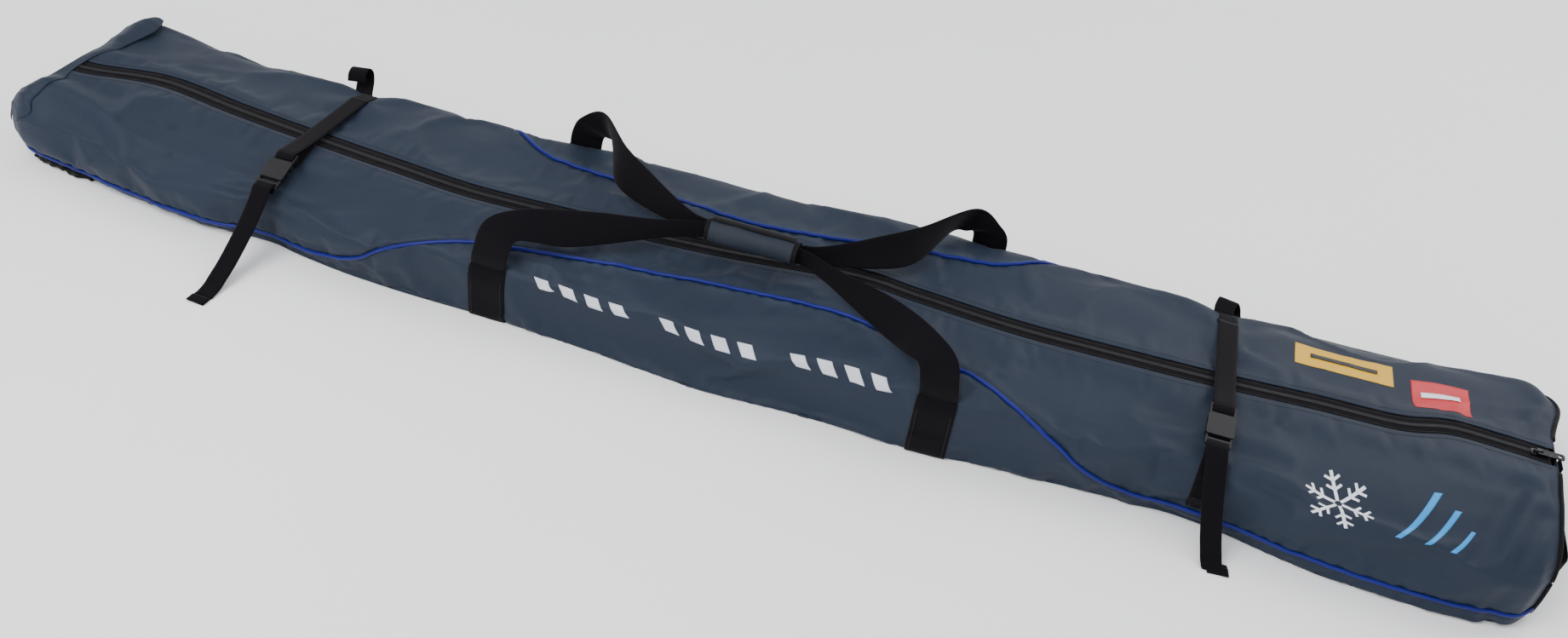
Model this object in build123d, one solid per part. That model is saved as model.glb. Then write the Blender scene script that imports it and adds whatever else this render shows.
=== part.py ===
"""Ski bag for a pair of long skis: a soft duffel with a full-length zip.

Millimetres. +X runs along the zip towards the wide end, where the zip slider parks.
+Y is the far side, -Y the near side with the buckles, +Z is up. The origin is the middle
of the underside, below the zip. Each sub-part is written to parts/NODE.step.
"""
from build123d import *

import math
import os

# ---- driving dimensions: the bag ---------------------------------------------------------
bag_length = 2100.0          # outside, end panel to end panel
half_width_narrow = 150.0    # half of the bag's width at the narrow end
half_width_wide = 172.0      # and at the wide end
waist_depth = 7.0            # how far a compression strap draws each side in
waist_reach = 150.0          # length over which the waist fades out
corner_length = 42.0         # the plan view's corners round off over this length
corner_draw = 0.07           # and by this share of the half width
height_narrow = 104.0        # top at the zip, narrow end
height_wide = 130.0          # top at the zip, wide end
panel_thickness = 2.4        # coated fabric with its lining
bottom_thickness = 3.2       # stiffer base panel
side_lift = 2.2              # the side panels' lower edge sits this far above the ground
base_share = 0.90            # base panel's width, as a share of the bag's
widest_share = 0.42          # height of the widest line, as a share of the bag's height
roundness = 2.8              # exponent of the section's upper quarter, 2 is an ellipse
upper_share = 0.62           # part of the outline parameter above the widest line

# ---- driving dimensions: the piped seams -------------------------------------------------
seam_middle = 0.125          # outline parameter of the seam at mid length, high on the top
seam_belt = 0.225            # at the carry belts
seam_end = 0.78              # low on the sides towards both ends
seam_drop_end = 580.0        # the seam has come down by this distance from mid length
piping_size = 5.0            # across the piping
piping_clearance = 0.3

# ---- driving dimensions: the zip ---------------------------------------------------------
zip_slot_half = 17.0         # half of the slot between the two top panels
tape_outer = 24.0            # outer edge of a tape, below the top panel
tape_thickness = 1.0
tape_drop = 0.5              # clearance between a tape and the panel above it
parting_half = 0.8           # half of the gap that the slider's post runs in
coil_width = 2.4
coil_height = 2.2
zip_end_margin = 4.0         # from the end of a tape to the bag's end
stop_length = 3.6
stop_margin = 8.0            # from the end of a tape to its stop
stop_overhang = 0.8          # a stop is this much wider than its coil
slider_rest_gap = 1.0        # between the parked slider and its stops
slider_length = 15.0
slider_width = 12.0
slider_plate = 1.6
slider_clearance = 0.3
slider_post = 1.0            # post between the plates, in the parting line
bridge_height = 3.4
bridge_span = 9.0
bridge_width = 3.0
tab_length = 32.0
tab_width = 11.0
tab_thickness = 1.8
tab_pin_radius = 0.9
tab_ring_hole = 2.6
end_tab_width = 22.0
end_tab_height = 24.0
end_tab_thickness = 2.4
end_tab_drop = 4.0           # from the bag's top down to the tab

# ---- driving dimensions: webbing, belts and carry handle ---------------------------------
belt_spacing = 612.0         # between the middles of the two carry belts
belt_width = 50.0
webbing_thickness = 1.6
belt_clearance = 0.9         # from a belt to the panel below it
belt_ground_gap = 0.15       # below a belt where it crosses the base
belt_groove_depth = 1.9
belt_groove_margin = 2.0      # the groove is this much wider than the belt, each side
belt_top = 0.45              # outline parameter where a belt hands over to its arm
arm_gap = 0.3                # between a belt's end and its arm
arm_lead = 4.0               # straight start of an arm, in line with its belt
grip_x = 12.0
grip_y = -30.0
grip_rise = 25.86            # from the bag's top up to the grip's axis
grip_length = 128.0
grip_radius = 17.0
grip_slot_clearance = 0.3    # round the two folded webbings
grip_web_height = 24.0       # the carry webbing folded double
grip_web_thickness = 3.2
grip_web_offset = 3.0        # from the grip's axis to the middle of a folded webbing
binding_width = 4.0
binding_wall = 1.4
flap_thickness = 1.5
flap_clearance = 0.3
flap_from = 62.0             # degrees about the grip, from the far side over the top
flap_to = 200.0

# ---- driving dimensions: compression straps and buckles ----------------------------------
strap_spacing = 1288.0       # between the two compression straps
strap_width = 25.0
strap_clearance = 0.8
strap_anchor_gap = 0.04      # outline parameter from the piped seam up to the sewn ends
zip_bridge_rise = 7.5        # height that a strap keeps over the zip, for the slider
zip_bridge_half = 12.0
zip_bridge_start = 52.0      # from the zip to where a strap leaves the skin
buckle_reach = 106.0         # from the zip to the middle of the buckle
buckle_width = 34.0
buckle_body_length = 32.0
buckle_thickness = 9.0
buckle_wall = 1.7
buckle_side_wall = 3.4
buckle_seat = 1.2            # under the buckle, at its middle
window_start = 9.0
window_length = 14.0
bar_frame_length = 16.0      # the ladder lock at each end of a buckle
bar_first = 0.6              # from a ladder lock's root to its first slot
lock_root = 1.2              # the insert's ladder lock starts this far from its edge
insert_gap = 0.4             # between the buckle's two halves
bar_slot = 4.2
bar_size = 2.6
frame_thickness = 5.0
tongue_width = 6.0
tongue_length = 22.0
tongue_thickness = 3.0
prong_width = 3.2
prong_thickness = 4.4
prong_offset = 8.7
prong_root = 2.2             # from the buckle's mouth to the prong's pivot
prong_head_start = 10.2
prong_head_end = 22.0
prong_head_out = 15.8
near_tail_reach = {"narrow": 132.0, "wide": 58.0}    # tail end on the ground, from the side
far_tail_gap = 0.7           # between a far strap and its tail

# ---- driving dimensions: ends ------------------------------------------------------------
end_piping_inset = 1.0
end_piping_width = 5.0
end_piping_depth = 4.5
fold_depth = 14.0            # folded gusset strip over the narrow end
fold_band = 9.0              # how far the strip reaches in from the end's outline
fold_low_share = 0.62        # its lower ends, as a share of the end's height
end_web_width = 40.0
end_loop_z = 42.0
end_loop_reach = 28.0
end_loop_near = 118.0
end_loop_far = 112.0
end_web_clearance = 0.2
end_web_flat = 30.0          # sewn-down length at each end of the handle
corner_tab_length = 62.0
corner_tab_low = 0.93        # outline parameters between which it lies
corner_tab_high = 0.855
corner_tab_gap = 0.8
corner_tab_inset = 14.0      # from the rounded corner to the tab
corner_tab_depth = 3.0
corner_tab_bulge = 1.6

half_length = bag_length / 2
panel_end = half_length - panel_thickness
belt_xs = (-belt_spacing / 2, belt_spacing / 2)
strap_xs = (-strap_spacing / 2, strap_spacing / 2)
side_names = {-1: "near", 1: "far"}


# ---- the bag's shape ---------------------------------------------------------------------
def smooth(share):
    """Ease from 0 to 1 with level ends."""
    share = min(max(share, 0.0), 1.0)
    return share * share * (3.0 - 2.0 * share)


def half_width(x):
    """Half of the bag's width at x: a taper, two strap waists and rounded plan corners."""
    along = (x + half_length) / bag_length
    width = half_width_narrow + (half_width_wide - half_width_narrow) * along
    for strap_x in strap_xs:
        width -= waist_depth * (1.0 - smooth(abs(x - strap_x) / waist_reach))
    from_end = half_length - abs(x)
    corner = max(0.0, 1.0 - from_end / corner_length)
    return width * (1.0 - corner_draw * corner * corner)


def top_height(x):
    """Height of the top at the zip, a straight line so that the slider runs true."""
    return height_narrow + (height_wide - height_narrow) * (x + half_length) / bag_length


def seam_parameter(x):
    """Outline parameter of the piped seam: high at mid length, low towards the ends."""
    belt_x = belt_spacing / 2
    reach = abs(x)
    if reach <= belt_x:
        return seam_middle + (seam_belt - seam_middle) * (reach / belt_x) ** 2
    drop = smooth((reach - belt_x) / (seam_drop_end - belt_x))
    return seam_belt + (seam_end - seam_belt) * drop


def outline(x, t):
    """Half outline of the section at x as (distance from the zip, height), t from 0 to 1."""
    width = half_width(x)
    top = top_height(x)
    middle = side_lift + (top - side_lift) * widest_share
    power = 2.0 / roundness
    first_angle = math.asin((zip_slot_half / width) ** (1.0 / power))
    if t <= upper_share:
        angle = first_angle + (math.pi / 2 - first_angle) * t / upper_share
        return (width * math.sin(angle) ** power,
                middle + (top - middle) * max(math.cos(angle), 0.0) ** power)
    angle = math.pi / 2 * (t - upper_share) / (1.0 - upper_share)
    base = width * base_share
    return (width - (width - base) * (1.0 - math.cos(angle)),
            middle - (middle - side_lift) * math.sin(angle))


def outline_normal(x, t):
    """Outward unit normal of the half outline, in the section's plane."""
    if t >= 1.0:
        return 0.0, -1.0
    step = 0.004
    y0, z0 = outline(x, max(t - step, 0.0))
    y1, z1 = outline(x, min(t + step, 1.0))
    length = math.hypot(y1 - y0, z1 - z0)
    return -(z1 - z0) / length, (y1 - y0) / length


def skin_point(x, t, out):
    """Point of the section that stands `out` proud of the skin, as (distance, height)."""
    y, z = outline(x, t)
    ny, nz = outline_normal(x, t)
    return y + ny * out, z + nz * out


def parameter_at(x, distance):
    """Outline parameter on the top where the skin is this far from the zip."""
    low, high = 0.0, upper_share
    for _ in range(40):
        middle = (low + high) / 2
        if outline(x, middle)[0] < distance:
            low = middle
        else:
            high = middle
    return low


def station_list():
    """Sections along the bag, closer together where the seam comes down."""
    reach = [0.0, 100.0, 200.0, belt_spacing / 2, 360.0, 415.0, 470.0, 525.0,
             seam_drop_end, strap_spacing / 2, 730.0, 850.0, half_length - corner_length]
    reach += [panel_end]
    return sorted([-r for r in reach[1:]] + reach)


# ---- solids from sections ----------------------------------------------------------------
def ruled(sections):
    """Solid through closed polygons with the same number of corners."""
    wires = [Wire.make_polygon([Vector(*p) for p in points], close=True) for points in sections]
    solid = Solid.make_loft(wires, True)
    if solid.volume < 0:
        # the order of the sections sets which way the faces point
        solid = Solid.make_loft(list(reversed(wires)), True)
    return solid


def skin_panel(side, start, end, rows):
    """Shell panel between two outline parameters, each a function of x."""
    sections = []
    for x in station_list():
        ts = [start(x) + (end(x) - start(x)) * k / rows for k in range(rows + 1)]
        outer = [skin_point(x, t, 0.0) for t in ts]
        inner = [skin_point(x, t, -panel_thickness) for t in reversed(ts)]
        sections.append([(x, side * y, z) for y, z in outer + inner])
    return ruled(sections)


def offset_path(path, distance):
    """Planar path moved sideways by distance, with mitred corners."""
    moved = []
    for i, (a, b) in enumerate(path):
        before = path[max(i - 1, 0)]
        after = path[min(i + 1, len(path) - 1)]
        first = (a - before[0], b - before[1])
        second = (after[0] - a, after[1] - b)
        if i == 0:
            first = second
        if i == len(path) - 1:
            second = first
        n1 = (-first[1] / math.hypot(*first), first[0] / math.hypot(*first))
        n2 = (-second[1] / math.hypot(*second), second[0] / math.hypot(*second))
        total = (n1[0] + n2[0], n1[1] + n2[1])
        scale = 2.0 / (total[0] ** 2 + total[1] ** 2)
        moved.append((a + total[0] * scale * distance, b + total[1] * scale * distance))
    return moved


def web_in_section(path, x, width):
    """Webbing that follows a (y, z) path in the section at x."""
    half = webbing_thickness / 2
    ring = offset_path(path, half) + list(reversed(offset_path(path, -half)))
    corners = [Vector(x - width / 2, y, z) for y, z in ring]
    face = Face(Wire.make_polygon(corners, close=True))
    return Solid.extrude(face, Vector(width, 0, 0))


def rounded_box(length, width, height, radius):
    """Box on z = 0 with its upright edges rounded."""
    box = Box(length, width, height, align=(Align.CENTER, Align.CENTER, Align.MIN))
    return fillet(box.edges().filter_by(Axis.Z), radius)


# ---- panels ------------------------------------------------------------------------------
def base_outline():
    """Plan outline of the base panel, its straight runs matching the side panels' edges."""
    xs = station_list()
    near = [(x, -half_width(x) * base_share) for x in xs]
    far = [(x, half_width(x) * base_share) for x in reversed(xs)]
    return near + far


def make_bottom_panel():
    """Flat base panel with a shallow groove below each carry belt."""
    face = make_face(Polyline(*base_outline(), close=True))
    panel = extrude(face, bottom_thickness)
    groove_width = belt_width + 2 * belt_groove_margin
    for x in belt_xs:
        groove = Box(groove_width, 4 * half_width_wide, 2 * belt_groove_depth)
        panel -= Pos(x, 0, 0) * groove
    return panel


def end_outline(x, inset):
    """Closed outline of an end panel, drawn in by inset."""
    steps = 14
    half = [skin_point(x, k / steps, -inset) for k in range(steps + 1)]
    base = half_width(x) * base_share - inset
    half = [(y, z) for y, z in half if z > side_lift + 1.0 + inset]
    half.append((base, max(inset, side_lift / 2)))
    near = [(-y, z) for y, z in half]
    return near + list(reversed(half))


def outline_slab(x, inset, depth):
    """Slab of the end outline, from x to x + depth."""
    reach = math.copysign(panel_end, x)
    corners = [Vector(x, y, z) for y, z in end_outline(reach, inset)]
    face = Face(Wire.make_polygon(corners, close=True))
    return Solid.extrude(face, Vector(depth, 0, 0))


def make_end_panel(sign):
    """End panel closing the bag at one end."""
    return outline_slab(sign * panel_end, 0.0, sign * panel_thickness)


def make_end_piping():
    """Bound piping that frames the wide end panel."""
    outer = outline_slab(half_length, end_piping_inset, end_piping_depth)
    inner = outline_slab(half_length, end_piping_inset + end_piping_width, end_piping_depth)
    return outer - inner


def make_end_fold():
    """Gusset strip folded over the top of the narrow end."""
    lowest = height_narrow * fold_low_share
    keep_height = 2 * height_narrow
    strip = outline_slab(-half_length, end_piping_inset, -fold_depth)
    middle = outline_slab(-half_length, end_piping_inset + fold_band, -fold_depth)
    block = Box(4 * fold_depth, 4 * half_width_wide, keep_height)
    keep = Pos(-half_length, 0, lowest + keep_height / 2) * block
    return (strip - middle) & keep


def make_corner_tab():
    """Gathered end of the base panel's binding, at the near corner of the narrow end."""
    x_start = -half_length + corner_length + corner_tab_inset
    steps = 6
    sections = []
    for k in range(steps + 1):
        x = x_start + corner_tab_length * k / steps
        bulge = math.sin(math.pi * k / steps)
        high = corner_tab_high - 0.02 * bulge
        deep = corner_tab_gap + corner_tab_depth + corner_tab_bulge * bulge
        ring = [skin_point(x, corner_tab_low, corner_tab_gap), skin_point(x, corner_tab_low, deep),
                skin_point(x, high, deep), skin_point(x, high, corner_tab_gap)]
        sections.append([(x, -y, z) for y, z in ring])
    return ruled(sections)


def make_piping(side):
    """Piping along one seam, a cord of six flats that stands on the skin."""
    sections = []
    radius = piping_size / 2
    for x in station_list():
        y, z = skin_point(x, seam_parameter(x), radius + piping_clearance)
        ring = []
        for k in range(6):
            angle = math.radians(60 * k)
            ring.append((x, side * (y + radius * math.cos(angle)), z + radius * math.sin(angle)))
        sections.append(ring)
    return ruled(sections)


# ---- zip ---------------------------------------------------------------------------------
zip_slope = math.atan2(height_wide - height_narrow, bag_length)
zip_middle = (height_narrow + height_wide) / 2
zip_plane = Plane(origin=(0, 0, zip_middle), x_dir=(math.cos(zip_slope), 0, math.sin(zip_slope)),
                  z_dir=(-math.sin(zip_slope), 0, math.cos(zip_slope)))
tape_top = -panel_thickness - tape_drop
coil_top = tape_top + coil_height
tape_end = half_length - zip_end_margin
stop_x = tape_end - stop_margin
coil_end = stop_x - stop_length / 2
slider_x = coil_end - slider_length / 2 - slider_rest_gap


def zip_block(x0, x1, y0, y1, z0, z1):
    """Block in the zip's own frame, whose z = 0 is the top of the panels."""
    block = Box(x1 - x0, y1 - y0, z1 - z0)
    return Pos((x0 + x1) / 2, (y0 + y1) / 2, (z0 + z1) / 2) * block


def make_tape(side):
    """One of the two woven tapes."""
    edges = sorted((side * parting_half, side * tape_outer))
    return zip_plane * zip_block(-tape_end, tape_end, *edges, tape_top - tape_thickness, tape_top)


def make_coil(side):
    """One half of the coil, drawn as a plain bar on its tape."""
    edges = sorted((side * parting_half, side * (parting_half + coil_width)))
    return zip_plane * zip_block(-coil_end, coil_end, *edges, tape_top, coil_top)


def make_stops():
    """Crimped stops: one on each coil at the wide end, one across both at the narrow end."""
    width = coil_width + stop_overhang
    parts = []
    for side in (-1, 1):
        edges = sorted((side * parting_half, side * (parting_half + width)))
        parts.append(zip_block(stop_x - stop_length / 2, stop_x + stop_length / 2, *edges,
                               tape_top, coil_top + 0.4))
    reach = parting_half + width
    parts.append(zip_block(-stop_x - stop_length / 2, -stop_x + stop_length / 2, -reach, reach,
                           tape_top, coil_top + 0.4))
    return Compound(children=[zip_plane * p for p in parts])


upper_low = coil_top + slider_clearance
upper_top = upper_low + slider_plate
lower_top = tape_top - tape_thickness - slider_clearance
pin_height = upper_top + tab_pin_radius + 0.5


def make_slider():
    """Slider: two plates round the coils, a post in the parting line and a bridge on top."""
    upper = rounded_box(slider_length, slider_width, slider_plate, 2.4)
    body = Pos(0, 0, upper_low) * upper
    flange_in = parting_half + coil_width + slider_clearance + 0.2
    for side in (-1, 1):
        edges = sorted((side * flange_in, side * (slider_width / 2)))
        body += zip_block(-slider_length / 2 + 2.5, slider_length / 2 - 2.5, *edges,
                          tape_top + slider_clearance, upper_low)
    lower = rounded_box(slider_length - 2, slider_width - 2, slider_plate, 2.0)
    body += Pos(0, 0, lower_top - slider_plate) * lower
    body += zip_block(1.0, slider_length / 2 - 2.5, -slider_post / 2, slider_post / 2,
                      lower_top - 0.2, upper_low + 0.2)
    for end in (-1, 1):
        post_x = end * (bridge_span / 2 - 0.8)
        body += zip_block(post_x - 0.8, post_x + 0.8, -bridge_width / 2, bridge_width / 2,
                          upper_top - 0.2, upper_top + bridge_height)
    body += zip_block(-bridge_span / 2, bridge_span / 2, -bridge_width / 2, bridge_width / 2,
                      upper_top + bridge_height - 1.1, upper_top + bridge_height)
    return zip_plane * (Pos(slider_x, 0, 0) * body)


def make_pull_tab():
    """Pull tab: a pin below the bridge, two arms beside it and a plate with a cord hole."""
    arm_in = bridge_width / 2 + 0.6
    pin = Cylinder(tab_pin_radius, tab_width - 1.0, rotation=(90, 0, 0))
    tab = Part() + pin
    plate_start = bridge_span / 2 + 2.0
    thick = tab_thickness / 2
    for side in (-1, 1):
        edges = sorted((side * arm_in, side * (tab_width / 2)))
        tab += zip_block(0, plate_start + 1.0, *edges, -thick, thick)
    plate = rounded_box(tab_length - plate_start, tab_width, tab_thickness, 3.0)
    plate_x = (plate_start + tab_length) / 2
    tab += Pos(plate_x, 0, -thick) * plate
    tab -= Pos(tab_length - 5.5, 0, 0) * Cylinder(tab_ring_hole, 3 * tab_thickness)
    return zip_plane * (Pos(slider_x, 0, pin_height) * tab)


def make_end_tab():
    """Folded fabric tab that covers the end of the zip, on the wide end panel."""
    middle = height_wide - end_tab_drop - end_tab_height / 2
    tab = Box(end_tab_thickness, end_tab_width, end_tab_height)
    tab = fillet(tab.edges().filter_by(Axis.X), 3.0)
    return Pos(half_length + end_piping_depth + end_tab_thickness / 2 + 0.3, 0, middle) * tab


# ---- carry belts, arms and grip ----------------------------------------------------------
grip_z = top_height(grip_x) + grip_rise


def belt_path(x):
    """Belt round the bag below, from arm to arm, as (y, z) points in the section at x."""
    seat = belt_clearance + webbing_thickness / 2
    ground = side_lift - belt_ground_gap - webbing_thickness / 2
    steps = 12
    side = []
    for k in range(steps + 1):
        t = belt_top + (1.0 - belt_top) * k / steps
        side.append(skin_point(x, t, seat + (ground - seat) * smooth((t - 0.8) / 0.2)))
    near = [(-y, z) for y, z in side]
    return near + list(reversed(side))


def make_belt(x):
    """Carry belt: up the near side, below the base and up the far side, in one webbing."""
    return web_in_section(belt_path(x), x, belt_width)


def arm_sections(end, side):
    """Sections of one carry arm, from its belt to the grip, as (middle, half width vector).

    Each row holds the share of the way to the grip, y, the height of the lower edge and
    the half width vector for a half width of 1.

    The arm leaves the bag's side upright, folds over the top edge and turns onto its own
    edge, so that it reaches the grip folded double and upright.
    """
    belt_x = end * belt_spacing / 2
    grip_end = grip_x + end * (grip_length / 2 + 1.0)
    y_skin, z_skin = skin_point(belt_x, belt_top, belt_clearance + webbing_thickness / 2)
    ny, nz = outline_normal(belt_x, belt_top)
    half = belt_width / 2
    web_y = grip_y + side * grip_web_offset
    lead = arm_gap + arm_lead
    start = (side * (y_skin - nz * arm_gap), z_skin + ny * arm_gap)
    led = (side * (y_skin - nz * lead), z_skin + ny * lead)
    rows = [(0.00, *start, (1.0, 0.0, 0.0)),
            (0.00, *led, (1.0, 0.0, 0.0)),
            (0.01, side * (y_skin + 0.5), z_skin + 21.0, (1.0, 0.0, 0.04)),
            (0.05, side * (y_skin - 8.0), grip_z - 11.5, (0.90, -side * 0.10, 0.30)),
            (0.16, side * (y_skin - 26.0), grip_z - 13.0, (0.62, -side * 0.25, 0.60)),
            (0.36, web_y + side * 76.0, grip_z - 22.0, (0.15, -side * 0.35, 0.80)),
            (0.68, web_y + side * 34.0, grip_z - 19.5, (0.0, -side * 0.30, 0.66)),
            (0.90, web_y + side * 6.0, grip_z - 15.5, (0.0, -side * 0.08, 0.54)),
            (1.00, web_y, grip_z - grip_web_height / 2, (0.0, 0.0, grip_web_height / belt_width))]
    placed = []
    for share, y, low, spread in rows:
        x = belt_x + (grip_end - belt_x) * share
        across = Vector(end * spread[0], spread[1], spread[2]) * half
        placed.append((Vector(x, y, low + spread[2] * half), across))
    return placed


def ruled_web(placed, thickness):
    """Webbing through sections given by their middles and half width vectors."""
    sections = []
    for i, (middle, spread) in enumerate(placed):
        before = placed[max(i - 1, 0)][0]
        after = placed[min(i + 1, len(placed) - 1)][0]
        normal = spread.cross(after - before).normalized() * (thickness / 2)
        corners = [middle + spread - normal, middle - spread - normal,
                   middle - spread + normal, middle + spread + normal]
        sections.append([tuple(c) for c in corners])
    return ruled(sections)


def make_arm(end, side):
    """One of the four arms between a belt and the grip."""
    return ruled_web(arm_sections(end, side), webbing_thickness)


def make_grip_web(side):
    """Carry webbing inside the grip, folded double."""
    bar = Box(grip_length + 1.6, grip_web_thickness, grip_web_height)
    return Pos(grip_x, grip_y + side * grip_web_offset, grip_z) * bar


def make_grip_sleeve():
    """Padded sleeve round both carry webbings."""
    length = grip_length - 2 * binding_width
    sleeve = Cylinder(grip_radius, length, rotation=(0, 90, 0))
    slot_half = grip_web_offset + grip_web_thickness / 2 + grip_slot_clearance
    sleeve -= Box(2 * length, 2 * slot_half, grip_web_height + 2 * grip_slot_clearance)
    return Pos(grip_x, grip_y, grip_z) * sleeve


def make_grip_bindings():
    """Bound rings over both ends of the sleeve."""
    rings = []
    for end in (-1, 1):
        ring = Cylinder(grip_radius, binding_width, rotation=(0, 90, 0))
        ring -= Cylinder(grip_radius - binding_wall, 2 * binding_width, rotation=(0, 90, 0))
        middle = grip_x + end * (grip_length - binding_width) / 2
        rings.append(Pos(middle, grip_y, grip_z) * ring)
    return Compound(children=rings)


flap_inner = grip_radius + flap_clearance
flap_outer = flap_inner + flap_thickness
hinge_angle = math.radians(flap_to)
flap_hinge = (grip_y + (flap_inner + flap_thickness / 2) * math.cos(hinge_angle),
              grip_z + (flap_inner + flap_thickness / 2) * math.sin(hinge_angle))


def make_grip_flap():
    """Closing flap of the grip: a curved cover from the near side over the top."""
    steps = 12
    length = grip_length - 2 * binding_width - 2.0
    inner, outer = [], []
    for k in range(steps + 1):
        angle = math.radians(flap_from + (flap_to - flap_from) * k / steps)
        inner.append((flap_inner * math.cos(angle), flap_inner * math.sin(angle)))
        outer.append((flap_outer * math.cos(angle), flap_outer * math.sin(angle)))
    corners = [Vector(grip_x - length / 2, grip_y + y, grip_z + z)
               for y, z in inner + list(reversed(outer))]
    return Solid.extrude(Face(Wire.make_polygon(corners, close=True)), Vector(length, 0, 0))


# ---- compression straps and buckles ------------------------------------------------------
def buckle_plane(x):
    """Frame of a buckle: x along the strap and down the near side, z away from the bag."""
    t = parameter_at(x, buckle_reach)
    y, z = outline(x, t)
    ny, nz = outline_normal(x, t)
    origin = (x, -(y + ny * buckle_seat), z + nz * buckle_seat)
    return Plane(origin=origin, x_dir=(0, -nz, -ny), z_dir=(0, -ny, nz))


def to_section(x, u, w):
    """Point (u along the strap, w off the bag) of a buckle's frame, as (y, z)."""
    point = buckle_plane(x).from_local_coords(Vector(u, 0, w))
    return point.Y, point.Z


body_start = -buckle_body_length / 2 + 4.0
body_end = body_start + buckle_body_length
mid_height = buckle_thickness / 2


def make_buckle_body(x):
    """Female half: a box with side windows and a ladder lock for the near strap."""
    outer = rounded_box(buckle_body_length, buckle_width, buckle_thickness, 3.0)
    body = Pos((body_start + body_end) / 2, 0, 0) * outer
    cavity_depth = buckle_body_length - 3.0
    cavity = Box(cavity_depth, buckle_width - 2 * buckle_side_wall, buckle_thickness - 2 * buckle_wall)
    body -= Pos(body_start + cavity_depth / 2 - 0.01, 0, mid_height) * cavity
    window = Box(window_length, buckle_width + 2, buckle_thickness - 2 * buckle_wall)
    body -= Pos(body_start + window_start + window_length / 2, 0, mid_height) * window
    frame = rounded_box(bar_frame_length, buckle_width - 2.0, frame_thickness, 2.5)
    body += Pos(body_end + bar_frame_length / 2 - 2.0, 0, mid_height - frame_thickness / 2) * frame
    for slot_x in lock_slots(body_end, 1):
        body -= Pos(slot_x, 0, mid_height) * Box(bar_slot, strap_width + 2.0, 2 * buckle_thickness)
    return buckle_plane(x) * body


def lock_slots(edge, direction):
    """Middles of a ladder lock's two slots, counted from the half it belongs to."""
    first = edge + direction * (bar_first + bar_slot / 2)
    return first, first + direction * (bar_slot + bar_size)


def make_buckle_insert(x):
    """Male half without its prongs: a tongue and a ladder lock for the far strap."""
    edge = body_start - insert_gap
    frame = rounded_box(bar_frame_length, buckle_width - 2.0, frame_thickness, 2.5)
    insert = Pos(edge - bar_frame_length / 2, 0, mid_height - frame_thickness / 2) * frame
    tongue = Box(tongue_length + 1.0, tongue_width, tongue_thickness)
    insert += Pos(edge + tongue_length / 2 - 0.5, 0, mid_height) * tongue
    for slot_x in lock_slots(edge - lock_root, -1):
        insert -= Pos(slot_x, 0, mid_height) * Box(bar_slot, strap_width + 2.0, 2 * buckle_thickness)
    return buckle_plane(x) * insert


def make_prong(x, side):
    """Sprung prong with its press pad in the body's side window."""
    arm_start = prong_root
    half = prong_width / 2
    arm = Box(prong_head_end - arm_start, prong_width, prong_thickness)
    prong = Pos((arm_start + prong_head_end) / 2, 0, 0) * arm
    prong += Pos(arm_start, 0, 0) * Cylinder(half, prong_thickness)
    reach = prong_head_out - prong_offset
    head = Polyline((prong_head_start + 0.6, 0), (prong_head_start + 0.6, reach - 1.0),
                    (prong_head_start + 2.2, reach), (prong_head_end - 3.0, reach),
                    (prong_head_end, reach - 3.6), (prong_head_end, 0), close=True)
    pad = extrude(make_face(head), prong_thickness / 2, both=True)
    prong += pad
    if side < 0:
        prong = mirror(prong, about=Plane.XZ)
    return buckle_plane(x) * (Pos(body_start, side * prong_offset, mid_height) * prong)


def lock_wrap(x, edge, direction):
    """Webbing through a ladder lock: below the outer bar, round the middle bar, out above."""
    first, second = lock_slots(edge, direction)
    seat = webbing_thickness / 2 + 0.35
    low = mid_height - frame_thickness / 2 - seat
    high = mid_height + frame_thickness / 2 + seat
    outside = second + direction * (bar_slot / 2 + 3.2)
    rise_u = first - direction * 0.4
    turn = 1.3
    under = [(outside, low), (rise_u + direction * turn, low), (rise_u, low + turn)]
    over = [(rise_u, high - turn), (rise_u + direction * turn, high), (outside, high)]
    return [to_section(x, u, w) for u, w in under], [to_section(x, u, w) for u, w in over]


def make_near_strap(x, reach):
    """Near webbing: sewn low on the side, up through the buckle and down as a free tail."""
    seat = strap_clearance + webbing_thickness / 2
    under, over = lock_wrap(x, body_end, 1)
    wrap_t = parameter_at(x, -under[0][0] + 4.0)
    steps = 10
    anchor = seam_parameter(x) - strap_anchor_gap
    up = [skin_point(x, anchor + (wrap_t - anchor) * k / steps, seat)
          for k in range(steps + 1)]
    ground = webbing_thickness / 2 + 0.2
    side = half_width(x)
    lift = over[-1][1]
    tail = [(-over[-1][0] + 14.0, lift - 3.0), (side + 10.0 + 0.12 * reach, lift * 0.72),
            (side + 12.0 + 0.40 * reach, lift * 0.26), (side + 14.0 + 0.56 * reach, ground + 5.0),
            (side + 18.0 + 0.66 * reach, ground + 0.6), (side + 20.0 + reach, ground)]
    path = [(-y, z) for y, z in up] + under + over + [(-y, z) for y, z in tail]
    return web_in_section(path, x, strap_width)


def make_far_strap(x):
    """Far webbing: sewn low on the far side, over the zip to the buckle and back as a tail."""
    seat = strap_clearance + webbing_thickness / 2
    under, over = lock_wrap(x, body_start - insert_gap - lock_root, -1)
    top = top_height(x)
    steps = 12
    last_t = parameter_at(x, zip_bridge_start)
    anchor = seam_parameter(x) - strap_anchor_gap
    up = [skin_point(x, anchor + (last_t - anchor) * k / steps, seat)
          for k in range(steps + 1)]
    rise = zip_bridge_rise + webbing_thickness / 2
    bridge = [(zip_bridge_half + 12.0, top + rise * 0.72), (zip_bridge_half, top + rise),
              (-zip_bridge_half, top + rise), (-zip_bridge_half - 12.0, top + rise * 0.90)]
    gap = webbing_thickness + far_tail_gap
    tail_start = 5
    back = list(reversed(offset_path(up[tail_start:] + bridge, -gap)))
    return web_in_section(up + bridge + under + over + back, x, strap_width)


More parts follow.
